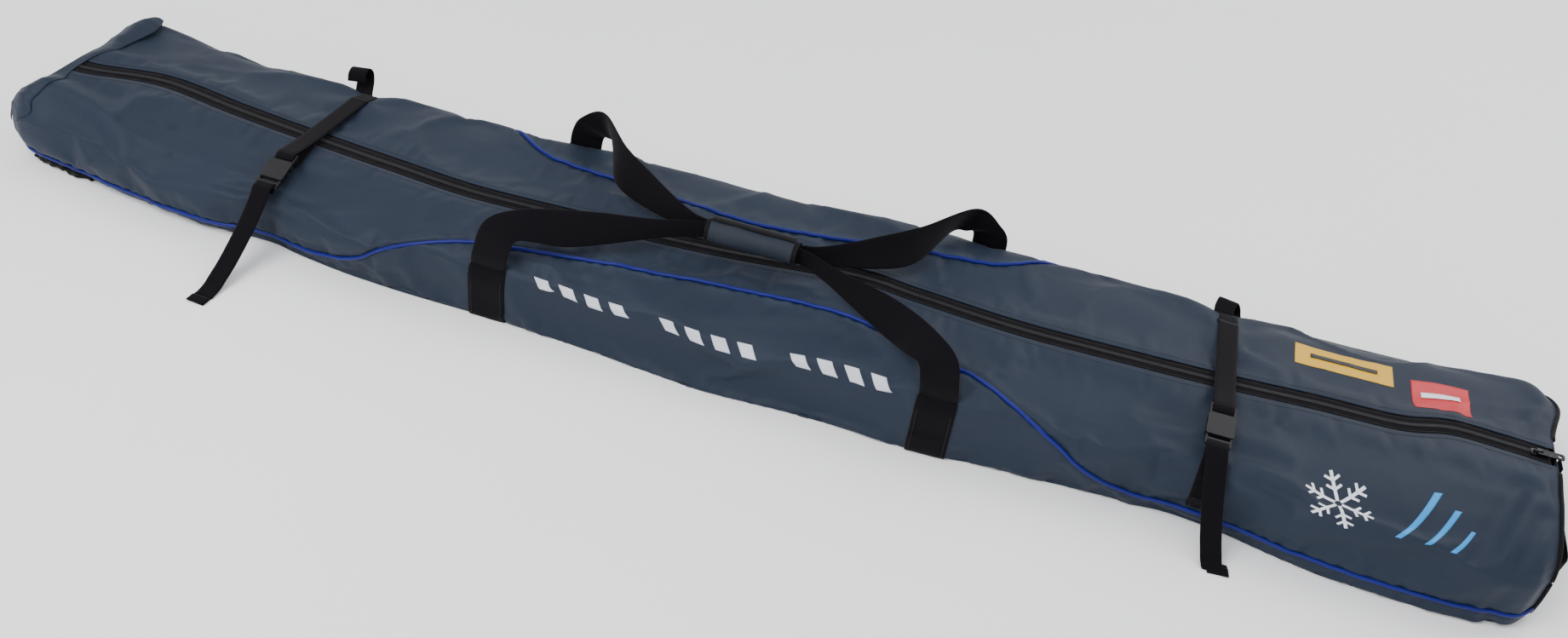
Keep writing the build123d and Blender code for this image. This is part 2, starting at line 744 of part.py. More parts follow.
# ---- end handle --------------------------------------------------------------------------
def make_end_handle():
    """End handle: a webbing loop across the wide end panel, its ends sewn down flat."""
    skin = half_length + end_web_clearance + webbing_thickness / 2
    near = -end_loop_near
    far = end_loop_far
    reach = half_length + end_loop_reach
    path = [(skin, near - end_web_flat), (skin, near - 3.0), (skin + 3.0, near),
            (skin + 12.0, near + 1.0), (reach - 4.0, near + 6.0), (reach, near + 18.0),
            (reach + 0.8, near + 58.0), (reach, near + 110.0), (reach - 6.0, near + 160.0),
            (reach - 15.0, near + 196.0), (skin + 3.0, far - 7.0), (skin, far + 3.0),
            (skin, far + end_web_flat)]
    half = webbing_thickness / 2
    ring = offset_path(path, half) + list(reversed(offset_path(path, -half)))
    low = end_loop_z - end_web_width / 2
    corners = [Vector(x, y, low) for x, y in ring]
    return Solid.extrude(Face(Wire.make_polygon(corners, close=True)), Vector(0, 0, end_web_width))


# ---- the whole bag -----------------------------------------------------------------------
def zip_edge(_):
    """Outline parameter of the edge beside the zip, at any x."""
    return 0.0


def base_edge(_):
    """Outline parameter of the edge above the base panel, at any x."""
    return 1.0


def build():
    """All sub-parts by node name."""
    nodes = {}
    for side, name in side_names.items():
        nodes[f"top_panel_{name}"] = skin_panel(side, zip_edge, seam_parameter, 6)
        nodes[f"side_panel_{name}"] = skin_panel(side, seam_parameter, base_edge, 7)
        nodes[f"piping_{name}"] = make_piping(side)
        nodes[f"zip_tape_{name}"] = make_tape(side)
        nodes[f"zip_coil_{name}"] = make_coil(side)
        nodes[f"grip_webbing_{name}"] = make_grip_web(side)
    nodes["bottom_panel"] = make_bottom_panel()
    nodes["end_panel_wide"] = make_end_panel(1)
    nodes["end_panel_narrow"] = make_end_panel(-1)
    nodes["end_piping_wide"] = make_end_piping()
    nodes["end_fold_narrow"] = make_end_fold()
    nodes["corner_binding_narrow"] = make_corner_tab()
    nodes["zip_stops"] = make_stops()
    nodes["zip_slider"] = make_slider()
    nodes["zip_pull_tab"] = make_pull_tab()
    nodes["zip_end_tab"] = make_end_tab()
    nodes["grip_sleeve"] = make_grip_sleeve()
    nodes["grip_bindings"] = make_grip_bindings()
    nodes["grip_flap"] = make_grip_flap()
    nodes["end_handle_loop"] = make_end_handle()
    for end, end_name in ((-1, "narrow"), (1, "wide")):
        belt_x = end * belt_spacing / 2
        strap_x = end * strap_spacing / 2
        nodes[f"carry_belt_{end_name}"] = make_belt(belt_x)
        for side, name in side_names.items():
            nodes[f"handle_arm_{name}_{end_name}"] = make_arm(end, side)
            nodes[f"buckle_prong_{'right' if side > 0 else 'left'}_{end_name}"] = make_prong(strap_x, side)
        nodes[f"buckle_body_{end_name}"] = make_buckle_body(strap_x)
        nodes[f"buckle_insert_{end_name}"] = make_buckle_insert(strap_x)
        nodes[f"strap_near_{end_name}"] = make_near_strap(strap_x, near_tail_reach[end_name])
        nodes[f"strap_far_{end_name}"] = make_far_strap(strap_x)
    return nodes


def main():
    """Write every sub-part as STEP."""
    os.makedirs("parts", exist_ok=True)
    for name, shape in build().items():
        export_step(shape, os.path.join("parts", f"{name}.step"))


if __name__ == "__main__":
    main()
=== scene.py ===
"""Ski bag: the looks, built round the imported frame.

A long soft bag for skis in slate coated polyester, with a full-length zip, royal blue
piping, black webbing belts and straps, side-release buckles and a wrapped carry grip.
Metres throughout, in the frame's own axes: +X along the zip to the wide end, -Y the
buckle side, +Z up.
"""
import logging
import math
from dataclasses import dataclass, field
from enum import Enum
from typing import Sequence

import bpy
import numpy as np
from mathutils import Matrix, Vector


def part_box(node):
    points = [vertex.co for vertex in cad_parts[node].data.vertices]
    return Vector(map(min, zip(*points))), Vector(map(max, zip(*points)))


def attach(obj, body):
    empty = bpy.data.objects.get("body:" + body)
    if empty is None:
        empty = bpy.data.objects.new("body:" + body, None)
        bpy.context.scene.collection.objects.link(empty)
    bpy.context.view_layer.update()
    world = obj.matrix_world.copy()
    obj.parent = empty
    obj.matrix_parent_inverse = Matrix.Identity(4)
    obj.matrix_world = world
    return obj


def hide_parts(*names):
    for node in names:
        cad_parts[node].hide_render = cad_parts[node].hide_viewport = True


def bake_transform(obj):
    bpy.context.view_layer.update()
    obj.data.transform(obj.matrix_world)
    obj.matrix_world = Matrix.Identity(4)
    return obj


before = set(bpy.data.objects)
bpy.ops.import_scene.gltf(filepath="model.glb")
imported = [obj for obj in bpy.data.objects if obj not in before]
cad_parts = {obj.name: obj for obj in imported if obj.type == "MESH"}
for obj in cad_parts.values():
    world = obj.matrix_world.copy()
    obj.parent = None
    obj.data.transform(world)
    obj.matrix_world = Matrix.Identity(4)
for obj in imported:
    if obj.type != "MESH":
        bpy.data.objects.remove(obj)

log = logging.getLogger("ski_bag")
Array = np.ndarray
MM = 0.001
BELL_CUT = 2.5  # widths from its middle at which soften's bell is cut off
CREASE_SHARPNESS = 1.6
CORD_GUIDE = np.array([0.0, 0.13, 0.99])  # nearly upright: no cord of the bag runs along it


# ---- numbers and curves
def ease(share: Array | float) -> Array:
    """Ease from 0 to 1 with level ends.

    Args:
        share: Values to ease; outside 0 to 1 they are held at the ends.

    Returns:
        3s^2 - 2s^3 of the held values.
    """
    held = np.clip(share, 0.0, 1.0)
    return held * held * (3.0 - 2.0 * held)


def unit(vectors: Array) -> Array:
    """Vectors scaled to length 1 along the last axis."""
    return vectors / np.maximum(np.linalg.norm(vectors, axis=-1, keepdims=True), 1e-12)


def spline(points: Sequence[Sequence[float]], spans: int) -> Array:
    """Smooth open curve through a few points of any dimension.

    Each span is the uniform Catmull-Rom cubic of its four neighbours. Past both ends the
    missing neighbour is the mirror image of the one inside.

    Args:
        points: The points that the curve passes through.
        spans: How many steps each span between two points is cut into.

    Returns:
        Array of (spans * (n - 1) + 1) points.
    """
    p = np.asarray(points, float)
    padded = np.vstack([2 * p[0] - p[1], p, 2 * p[-1] - p[-2]])
    u = np.linspace(0.0, 1.0, spans, endpoint=False)[None, :, None]
    a, b, c, d = (padded[i:len(padded) - 3 + i][:, None, :] for i in range(4))
    cubic = 0.5 * (2 * b + (c - a) * u + (2 * a - 5 * b + 4 * c - d) * u ** 2
                   + (3 * b - a - 3 * c + d) * u ** 3)
    return np.vstack([cubic.reshape(-1, p.shape[1]), p[-1:]])


def arc(path: Array) -> Array:
    """Distance along a path (n, 3) from its first point to each of its points."""
    return np.concatenate([[0.0], np.cumsum(np.linalg.norm(np.diff(path, axis=0), axis=1))])


def even_path(path: Array, step: float) -> Array:
    """The same path with points an even step apart along it.

    Args:
        path: Points in order, any dimension of at least three.
        step: Wanted distance between neighbours, measured on the first three columns.

    Returns:
        The resampled path, first and last point kept.
    """
    along = arc(path[:, :3])
    count = max(int(round(along[-1] / step)), 2) + 1
    wanted = np.linspace(0.0, along[-1], count)
    return np.stack([np.interp(wanted, along, path[:, k]) for k in range(path.shape[1])], axis=1)


def bell(gap: Array, width: float) -> Array:
    """Bell curve: 1 where the gap is 0, and 0.37 where it equals the width."""
    return np.exp(-(gap / width) ** 2)


def soften(path: Array, reach: int) -> Array:
    """Path (n, 3) averaged along itself under a bell of `reach` points to each side."""
    weight = np.exp(-np.linspace(-BELL_CUT, BELL_CUT, 2 * reach + 1) ** 2)
    padded = np.pad(path, ((reach, reach), (0, 0)), mode="reflect", reflect_type="odd")
    return np.stack([np.convolve(padded[:, k], weight / weight.sum(), "valid") for k in range(3)],
                    axis=1)


def grid_normals(grid: Array) -> Array:
    """Unit cross products of a grid's two gradients, for a grid (rows, columns, 3)."""
    return unit(np.cross(np.gradient(grid, axis=0), np.gradient(grid, axis=1)))


def smooth_rows(grid: Array, times: int) -> Array:
    """Grid (rows, columns, 3) averaged with its neighbours both ways, a few times."""
    for _ in range(times):
        grid = grid.copy()
        grid[1:-1] = (grid[:-2] + 2 * grid[1:-1] + grid[2:]) / 4
        grid[:, 1:-1] = (grid[:, :-2] + 2 * grid[:, 1:-1] + grid[:, 2:]) / 4
    return grid


def soft_noise(a: Array, b: Array, seed: int, pitch_a: float, pitch_b: float,
               waves: int = 7) -> Array:
    """Smooth random field over two coordinates, as a sum of plane waves.

    Wave k has the direction and phase of a seeded draw, and about the asked pitch.

    Args:
        a: First coordinate, in metres.
        b: Second coordinate, in metres.
        seed: Seed of the draw.
        pitch_a: Typical wavelength along a, in metres.
        pitch_b: Typical wavelength along b, in metres.
        waves: How many waves are summed.

    Returns:
        Field of the same shape, mostly within -1 to 1.
    """
    draw = np.random.default_rng(seed)
    total = np.zeros(np.broadcast(a, b).shape)
    for _ in range(waves):
        heading = draw.uniform(0.0, 2 * math.pi)
        stretch = draw.uniform(0.65, 1.5)
        phase = draw.uniform(0.0, 2 * math.pi)
        total += np.sin(2 * math.pi * stretch * (a * math.cos(heading) / pitch_a
                                                 + b * math.sin(heading) / pitch_b) + phase)
    return total / math.sqrt(waves)


def crease_noise(a: Array, b: Array, seed: int, pitch_a: float, pitch_b: float) -> Array:
    """Field of narrow creases: one minus the size of a soft noise, sharpened."""
    waves = soft_noise(a, b, seed, pitch_a, pitch_b)
    return np.clip(1.0 - np.abs(waves) * CREASE_SHARPNESS, 0.0, 1.0) ** 2


# ---- meshes
def add_mesh(name: str, vertices: Array, faces: Array, uv: Array | None = None,
             caps: Sequence[Sequence[int]] = ()) -> bpy.types.Object:
    """Put a mesh of quads, with a few cap polygons, into the scene.

    Args:
        name: Name of the piece.
        vertices: Array (n, 3) of places in metres.
        faces: Array (m, 4) of vertex numbers, outward by the right hand.
        uv: Optional array (n, 2), one pair for each vertex, in metres along the cloth.
        caps: Further polygons as lists of vertex numbers.

    Returns:
        The new object, smooth shaded, at the origin.
    """
    mesh = bpy.data.meshes.new(name)
    quads = np.asarray(faces, np.int64).reshape(-1, 4)
    cap_loops = [index for cap in caps for index in cap]
    loops = np.concatenate([quads.ravel(), np.asarray(cap_loops, np.int64)])
    sizes = np.concatenate([np.full(len(quads), 4), [len(cap) for cap in caps]]).astype(np.int64)
    starts = np.concatenate([[0], np.cumsum(sizes)[:-1]])
    mesh.vertices.add(len(vertices))
    mesh.vertices.foreach_set("co", np.asarray(vertices, np.float32).ravel())
    mesh.loops.add(len(loops))
    mesh.loops.foreach_set("vertex_index", loops.astype(np.int32))
    mesh.polygons.add(len(sizes))
    mesh.polygons.foreach_set("loop_start", starts.astype(np.int32))
    mesh.polygons.foreach_set("loop_total", sizes.astype(np.int32))
    mesh.update(calc_edges=True)
    mesh.validate()
    mesh.polygons.foreach_set("use_smooth", np.ones(len(mesh.polygons), bool))
    if uv is not None:
        layer = mesh.uv_layers.new(name="cloth")
        order = np.zeros(len(mesh.loops), np.int32)
        mesh.loops.foreach_get("vertex_index", order)
        layer.data.foreach_set("uv", np.asarray(uv, np.float32)[order].ravel())
    obj = bpy.data.objects.new(name, mesh)
    bpy.context.scene.collection.objects.link(obj)
    return obj


def vertex_places(mesh: bpy.types.Mesh) -> Array:
    """Places of a mesh's vertices, as an array (n, 3)."""
    places = np.zeros(len(mesh.vertices) * 3, np.float32)
    mesh.vertices.foreach_get("co", places)
    return places.reshape(-1, 3)


def grid_faces(rows: int, columns: int, wrap: bool = False) -> Array:
    """Quads of a grid of vertices stored row by row.

    Args:
        rows: Number of rows.
        columns: Number of vertices in a row.
        wrap: Whether the last column joins the first.

    Returns:
        Array (m, 4) of vertex numbers.
    """
    last = columns if wrap else columns - 1
    r, c = np.meshgrid(np.arange(rows - 1), np.arange(last), indexing="ij")
    n = (c + 1) % columns
    quads = np.stack([r * columns + c, r * columns + n, (r + 1) * columns + n,
                      (r + 1) * columns + c], axis=-1)
    return quads.reshape(-1, 4)


def end_caps(rows: int, columns: int) -> list[list[int]]:
    """Polygons that close the first and the last row of a grid that wraps round."""
    last = (rows - 1) * columns
    return [list(range(columns))[::-1], list(range(last, last + columns))]


def slab_profile(width: float, thickness: float, edge_steps: int = 3,
                 flat_steps: int = 6) -> Array:
    """Outline of flat webbing: a slab whose two edges are half round.

    Args:
        width: Across the webbing, in metres.
        thickness: Through the webbing, in metres.
        edge_steps: Steps of each half round edge.
        flat_steps: Steps of each flat side.

    Returns:
        Array (n, 2) of (across, off) pairs, running anticlockwise.
    """
    r = thickness / 2
    flat = np.linspace(-1.0, 1.0, flat_steps + 1) * (width / 2 - r)
    angle = np.linspace(-math.pi / 2, math.pi / 2, edge_steps + 1)[1:-1]
    right = np.stack([width / 2 - r + r * np.cos(angle), r * np.sin(angle)], axis=1)
    low = np.stack([flat, np.full_like(flat, -r)], axis=1)
    high = np.stack([flat[::-1], np.full_like(flat, r)], axis=1)
    left = np.stack([-right[:, 0], -right[:, 1]], axis=1)
    return np.vstack([low, right, high, left])


def sweep(name: str, middle: Array, across: Array, off: Array, profile: Array) -> bpy.types.Object:
    """Carry a closed profile along a path, with capped ends.

    Vertex (i, j) is middle_i + across_i * profile_j0 + off_i * profile_j1.

    Args:
        name: Name of the piece.
        middle: Array (n, 3), the path.
        across: Array (n, 3), direction of the profile's first axis.
        off: Array (n, 3), direction of the profile's second axis.
        profile: Array (m, 2), running anticlockwise.

    Returns:
        The closed piece, its UV in metres: along the path and across the profile.
    """
    shape = np.broadcast_to(profile, (len(middle),) + profile.shape)
    points = (middle[:, None, :] + across[:, None, :] * shape[..., :1]
              + off[:, None, :] * shape[..., 1:])
    rows, columns = points.shape[:2]
    uv = np.stack([np.broadcast_to(arc(middle)[:, None], (rows, columns)), shape[..., 0]], axis=-1)
    forward = np.cross(across[0], off[0]) @ (middle[1] - middle[0])
    faces = grid_faces(rows, columns, wrap=True)
    caps = end_caps(rows, columns)
    if forward <= 0:
        faces = faces[:, ::-1]
        caps = [cap[::-1] for cap in caps]
    return add_mesh(name, points.reshape(-1, 3), faces, uv.reshape(-1, 2), caps)


def tube(name: str, middle: Array, radius: float, sides: int = 10) -> bpy.types.Object:
    """Round cord along a path, its section turned to one fixed guide direction."""
    forward = unit(np.gradient(middle, axis=0))
    guide = np.broadcast_to(CORD_GUIDE, forward.shape)
    across = unit(np.cross(forward, guide))
    off = unit(np.cross(forward, across))
    angle = np.linspace(0.0, 2 * math.pi, sides, endpoint=False)
    profile = radius * np.stack([np.cos(angle), np.sin(angle)], axis=1)
    return sweep(name, middle, across, off, profile)


def slab(name: str, grid: Array, thickness: float, outward: bool = True,
         round_edges: bool = True) -> bpy.types.Object:
    """Closed sheet of even thickness about a grid of points.

    The normal at a point is the cross product of the grid's two gradients there. The two
    faces stand half the thickness either side of the grid, and a vertex half way between
    them rounds each long edge.

    Args:
        name: Name of the piece.
        grid: Array (rows, columns, 3), rows along the piece and columns across it.
        thickness: Through the sheet, in metres.
        outward: Whether gradient(rows) x gradient(columns) points away from the bag.
        round_edges: Whether the middle vertex of an edge stands proud.

    Returns:
        The piece, its UV in metres along and across the cloth.
    """
    rows, columns = grid.shape[:2]
    normal = grid_normals(grid)
    if not outward:
        normal = -normal
    high = grid + normal * thickness / 2
    low = grid - normal * thickness / 2
    bulge = thickness / 2 if round_edges else 0.0
    first = grid[:, :1] - unit(grid[:, 1:2] - grid[:, :1]) * bulge
    last = grid[:, -1:] + unit(grid[:, -1:] - grid[:, -2:-1]) * bulge
    ring = np.concatenate([high, last, low[:, ::-1], first], axis=1)
    along = arc(grid[:, columns // 2])[:, None]
    sizes = np.linalg.norm(np.diff(grid, axis=1), axis=2)
    across = np.concatenate([np.zeros((rows, 1)), np.cumsum(sizes, axis=1)], axis=1)
    across = across - across[:, -1:] / 2
    across = np.concatenate([across, across[:, -1:], across[:, ::-1], across[:, :1]], axis=1)
    uv = np.stack([np.broadcast_to(along, across.shape), across], axis=-1)
    around = ring.shape[1]
    faces = grid_faces(rows, around, wrap=True)
    strip = np.arange(columns - 1)
    end = np.stack([strip, strip + 1, around - 3 - strip, around - 2 - strip], axis=1)
    base = (rows - 1) * around
    faces = np.vstack([faces, end[:, ::-1], end + base])
    tips = [[columns - 1, columns, columns + 1][::-1], [around - 2, around - 1, 0][::-1],
            [base + columns - 1, base + columns, base + columns + 1],
            [base + around - 2, base + around - 1, base]]
    if outward:
        faces = faces[:, ::-1]
        tips = [tip[::-1] for tip in tips]
    return add_mesh(name, ring.reshape(-1, 3), faces, uv.reshape(-1, 2), tips)


def web_grid(middle: Array, spread: Array, columns: int = 9) -> Array:
    """Grid of a webbing whose cross sections are straight.

    Args:
        middle: Array (n, 3), the middle line.
        spread: Array (n, 3), from the middle to the second edge.
        columns: Vertices across the webbing.

    Returns:
        Array (n, columns, 3): middle + spread * share, share from -1 to 1.
    """
    share = np.linspace(-1.0, 1.0, columns)[None, :, None]
    return middle[:, None, :] + spread[:, None, :] * share


# one bead: (place along it, radius) of its four rings, and the turn of its first corner
BEAD_RINGS = ((-0.5, 0.45), (-0.36, 1.0), (0.36, 1.0), (0.5, 0.45))
BEAD_TURN = 0.4
BEAD = np.array([(s, r * math.cos(a), r * math.sin(a)) for s, r in BEAD_RINGS
                 for a in (BEAD_TURN, BEAD_TURN + math.pi / 2, BEAD_TURN + math.pi,
                           BEAD_TURN + 3 * math.pi / 2)])
BEAD_FACES = np.vstack([grid_faces(4, 4, wrap=True), [[3, 2, 1, 0]], [[12, 13, 14, 15]]])


def beads(name: str, centres: Array, along: Array, up: Array, length: float,
          radius: float) -> bpy.types.Object:
    """Many small rounded bars in one mesh: stitches, or the turns of a zip's coil.

    Each bar is a four-sided section carried through four rings, the outer two smaller.

    Args:
        name: Name of the piece.
        centres: Array (n, 3).
        along: Array (n, 3), unit directions of the bars.
        up: Array (n, 3), roughly the surface's normal.
        length: Of each bar.
        radius: Of each bar.

    Returns:
        The piece.
    """
    side = unit(np.cross(up, along))
    high = unit(np.cross(along, side))
    points = (centres[:, None, :] + along[:, None, :] * BEAD[None, :, :1] * length
              + side[:, None, :] * BEAD[None, :, 1:2] * radius
              + high[:, None, :] * BEAD[None, :, 2:] * radius)
    count = len(centres)
    faces = BEAD_FACES[None] + (np.arange(count) * len(BEAD))[:, None, None]
    return add_mesh(name, points.reshape(-1, 3), faces.reshape(-1, 4))


def same(vector: Array, count: int) -> Array:
    """One vector, given for each of several points."""
    return np.broadcast_to(vector, (count, 3))


def stitch_line(path: Array, pitch: float) -> tuple[Array, Array]:
    """Centres and directions of stitches spaced evenly along a path."""
    even = even_path(path, pitch)
    return (even[1:] + even[:-1]) / 2, unit(even[1:] - even[:-1])


# ---- the bag's form
KNOT_STEPS = 12
RELIEF_SEED = {-1: 11, 1: 29}
PUCKER_SEED = 71


def knots(pairs: Sequence[tuple[float, float]], x: Array) -> Array:
    """Smooth curve through a few (x, value) pairs, read at x.

    Args:
        pairs: The pairs, in millimetres.
        x: Where to read the curve, in metres.

    Returns:
        The values, in metres.
    """
    at = np.array([p[0] for p in pairs]) * MM
    value = np.array([p[1] for p in pairs]) * MM
    fine = spline(np.stack([at, value], axis=1), KNOT_STEPS)
    return np.interp(x, fine[:, 0], fine[:, 1])


@dataclass
class BagForm:
    """The bag's shape: a rounded section carried along the zip, sagging and creased.

    A point is named by x along the zip, side (-1 near, 1 far) and t, the share of the way
    from the zip's edge (0) round the widest line to the base (1).
    """

    length: float = 2.100
    half_width_narrow: float = 0.150
    half_width_wide: float = 0.172
    waist_depth: float = 0.007
    waist_reach: float = 0.150
    corner_length: float = 0.042
    corner_draw: float = 0.07
    height_narrow: float = 0.104
    height_wide: float = 0.130
    side_lift: float = 0.0022
    base_share: float = 0.90
    widest_share: float = 0.42
    roundness: float = 2.8
    upper_share: float = 0.62
    seam_middle: float = 0.125
    seam_belt: float = 0.225
    seam_end: float = 0.78
    seam_drop_end: float = 0.580
    belt_x: float = 0.306
    strap_x: float = 0.644
    slot_half: float = 0.017
    girth: float = 0.27  # arc length from the zip's edge to the base
    broad_wave: float = 0.0042
    crease: float = 0.0024
    fine_crease: float = 0.0005
    crease_level: float = 0.0012  # taken off, about the creases' mean height
    strap_dent: float = 0.0036
    strap_fan: float = 0.0024  # height of the wrinkles that fan out from a strap
    belt_dent: float = 0.0022
    seam_dip: float = 0.0022
    seam_dip_width: float = 0.006
    pucker: float = 0.0010
    pucker_pitch: float = 0.021
    pucker_width: float = 0.013
    end_round: float = 0.0055
    end_round_length: float = 0.022
    zip_wander: tuple[tuple[float, float], ...] = (
        (-1050, 0), (-1010, 2), (-908, 24), (-779, 7), (-639, -10), (-523, -26), (-422, -38),
        (-346, -39), (-203, -30), (-51, -18), (143, 5), (241, -5), (361, -19), (463, -21),
        (638, -13), (756, -7), (862, -6), (926, 10), (989, 5), (1035, 0), (1050, 0))
    near_swell: tuple[tuple[float, float], ...] = (
        (-1050, -30), (-965, -20), (-890, -11), (-800, -2), (-735, 4), (-644, 3), (-587, 7),
        (-450, 9), (-306, 8), (-170, 11), (-28, 20), (43, 21), (141, 18), (253, 17), (318, 16),
        (388, 9), (553, 3), (649, 6), (776, 16), (900, 20), (960, 20), (1028, 13), (1050, 6))
    far_swell: tuple[tuple[float, float], ...] = (
        (-1050, 34), (-990, 32), (-910, 20), (-809, 12), (-700, 9), (-554, 9), (-469, 11),
        (-388, 14), (-148, 15), (-68, 14), (8, 11), (150, 12), (320, 16), (454, 19), (566, 15),
        (739, 10), (875, 13), (985, 13), (1020, 20), (1050, 34))
    far_puff: tuple[tuple[float, float], ...] = (
        (-1050, 14), (-900, 12), (-700, 9), (-554, 8), (-300, 10), (-100, 12), (100, 9),
        (454, 12), (600, 10), (740, 8), (900, 10), (1010, 9), (1050, 12))
    base_swell: tuple[float, float] = (1.6, 0.65)  # share of the near and far swell, at the base
    end_reach_length: float = 0.110
    narrow_reach: tuple[tuple[float, float], ...] = (
        (-200, -24), (-125, -26), (-80, -18), (-30, -2), (0, 0), (40, 0), (130, -7), (200, -8))
    wide_reach: tuple[tuple[float, float], ...] = (
        (-200, -4), (-110, -2), (-40, 0), (30, 0), (75, 10), (125, 27), (200, 30))
    sag: tuple[tuple[float, float], ...] = (
        (-1050, 0), (-1000, 1), (-850, 6), (-644, 9), (-450, 6), (-200, 9), (12, 11),
        (200, 8), (450, 5), (644, 8), (850, 5), (1000, 0), (1050, 0))

    @property
    def lowest(self) -> float:
        """Height that no point of the fabric goes below."""
        return self.side_lift * 0.5

    def half_width(self, x: Array) -> Array:
        """Half width at x: a taper, two strap waists and rounded plan corners."""
        along = (x + self.length / 2) / self.length
        width = self.half_width_narrow + (self.half_width_wide - self.half_width_narrow) * along
        for strap in (-self.strap_x, self.strap_x):
            width = width - self.waist_depth * (1.0 - ease(np.abs(x - strap) / self.waist_reach))
        corner = np.clip(1.0 - (self.length / 2 - np.abs(x)) / self.corner_length, 0.0, 1.0)
        return width * (1.0 - self.corner_draw * corner ** 2)

    def top_height(self, x: Array) -> Array:
        """Height of the top at the zip: a straight line between the two ends."""
        along = (x + self.length / 2) / self.length
        return self.height_narrow + (self.height_wide - self.height_narrow) * along

    def seam(self, x: Array) -> Array:
        """Parameter t of the piped seam: high at mid length and low towards the ends."""
        reach = np.abs(x)
        inner = self.seam_middle + (self.seam_belt - self.seam_middle) * (reach / self.belt_x) ** 2
        drop = ease((reach - self.belt_x) / (self.seam_drop_end - self.belt_x))
        outer = self.seam_belt + (self.seam_end - self.seam_belt) * drop
        return np.where(reach <= self.belt_x, inner, outer)

    def outline(self, x: Array, t: Array) -> tuple[Array, Array]:
        """Plain half section at x as (distance from the zip, height).

        Above the widest line it is a superellipse quarter, and below it an ellipse
        quarter that tucks in to the base.
        """
        width = self.half_width(x)
        top = self.top_height(x)
        middle = self.side_lift + (top - self.side_lift) * self.widest_share
        power = 2.0 / self.roundness
        first = np.arcsin((self.slot_half / width) ** (1.0 / power))
        a = first + (math.pi / 2 - first) * np.clip(t / self.upper_share, 0.0, 1.0)
        b = math.pi / 2 * np.clip((t - self.upper_share) / (1.0 - self.upper_share), 0.0, 1.0)
        upper_y = width * np.sin(a) ** power
        upper_z = middle + (top - middle) * np.clip(np.cos(a), 0.0, 1.0) ** power
        lower_y = width - width * (1.0 - self.base_share) * (1.0 - np.cos(b))
        lower_z = middle - (middle - self.side_lift) * np.sin(b)
        above = t <= self.upper_share
        return np.where(above, upper_y, lower_y), np.where(above, upper_z, lower_z)

    def relief(self, x: Array, side: int, t: Array) -> Array:
        """How far the filled, creased fabric stands off the plain section.

        It is the sum of broad waves, creases, the dents below belts and straps with
        wrinkles that fan out from them, the dip and puckers beside the piped seam, and
        the named folds at the two ends. All fade out beside the zip and at the base.
        """
        s = t * self.girth * side
        seed = RELIEF_SEED[side]
        broad = self.broad_wave * soft_noise(x, s, seed, 0.46, 0.20)
        creases = self.crease * crease_noise(x, s, seed + 1, 0.30, 0.16)
        fine = self.fine_crease * crease_noise(x, s, seed + 2, 0.11, 0.055)
        total = broad + creases + fine - self.crease_level
        for strap in (-self.strap_x, self.strap_x):
            gap = np.abs(x - strap)
            above_anchor = 1.0 - ease((t - 0.72) / 0.08)
            total = total * (1.0 - 0.8 * bell(gap, 0.035) * above_anchor)
            total = total - self.strap_dent * bell(gap, 0.030) * above_anchor
            fan = soft_noise(x * 0.5, s, seed + 3, 0.09, 0.050)
            total = total + self.strap_fan * fan * bell(gap - 0.05, 0.05)
        for belt in (-self.belt_x, self.belt_x):
            gap = np.abs(x - belt)
            total = total * (1.0 - 0.75 * bell(gap, 0.040))
            total = total - self.belt_dent * bell(gap, 0.034)
        off = (t - self.seam(x)) * self.girth
        phase = 3.0 * soft_noise(x, s, PUCKER_SEED, 0.08, 0.2)
        pucker = 0.5 + 0.5 * np.sin(2 * math.pi * x / self.pucker_pitch + phase)
        total = total - self.seam_dip * bell(off, self.seam_dip_width)
        total = total - self.pucker * pucker * np.exp(-np.abs(off) / self.pucker_width)
        total = total + self.end_folds(x, side, t)
        fade = ease(t / 0.05) * (1.0 - ease((t - 0.93) / 0.07))
        if side > 0:
            total = total + knots(self.far_puff, x) * np.sin(math.pi * np.clip(t / 0.75, 0, 1)) ** 2
        from_end = self.length / 2 - np.abs(x)
        rounded = self.end_round * (1.0 - ease(from_end / self.end_round_length)) * ease(t / 0.10)
        return total * fade * (0.25 + 0.75 * ease(from_end / 0.03)) - rounded

    def end_folds(self, x: Array, side: int, t: Array) -> Array:
        """Named folds: the pinched valley at the narrow end and the creases at the wide end."""
        y = side * self.outline(x, t)[0]
        total = np.zeros(np.broadcast(x, t).shape)
        for fold in FOLDS:
            total = total + fold.height(x, y)
        return total

    def skin(self, x: Array, side: int, t: Array) -> Array:
        """Places on the fabric for x, side and t, as an array (..., 3)."""
        x, t = np.broadcast_arrays(np.asarray(x, float), np.asarray(t, float))
        step = 0.004  # in t, to either side, for the section's direction
        y, z = self.outline(x, t)
        y0, z0 = self.outline(x, np.clip(t - step, 0.0, 1.0))
        y1, z1 = self.outline(x, np.clip(t + step, 0.0, 1.0))
        run = np.hypot(y1 - y0, z1 - z0)
        out = self.relief(x, side, t)
        y = y - (z1 - z0) / run * out
        z = z + (y1 - y0) / run * out
        share = np.clip(y / self.half_width(x), 0.0, 1.0) ** 2
        swell = knots(self.near_swell if side < 0 else self.far_swell, x)
        low = ease((t - self.upper_share) / (1.0 - self.upper_share))
        spread = ease(share) * (1.0 - low) + self.base_swell[side > 0] * low
        world_y = side * (y + swell * spread) + knots(self.zip_wander, x) * (1.0 - share)
        world_z = z - knots(self.sag, x) * (1.0 - share) ** 0.7
        near_end = 1.0 - ease((self.length / 2 - np.abs(x)) / self.end_reach_length)
        high = 1.0 - ease((t - 0.18) / 0.38)
        reach = np.where(x < 0, knots(self.narrow_reach, side * y),
                         knots(self.wide_reach, side * y) * high)
        world_x = x + reach * near_end * (1.0 - 0.5 * low)
        return np.stack([world_x, world_y, np.maximum(world_z, self.lowest)], axis=-1)


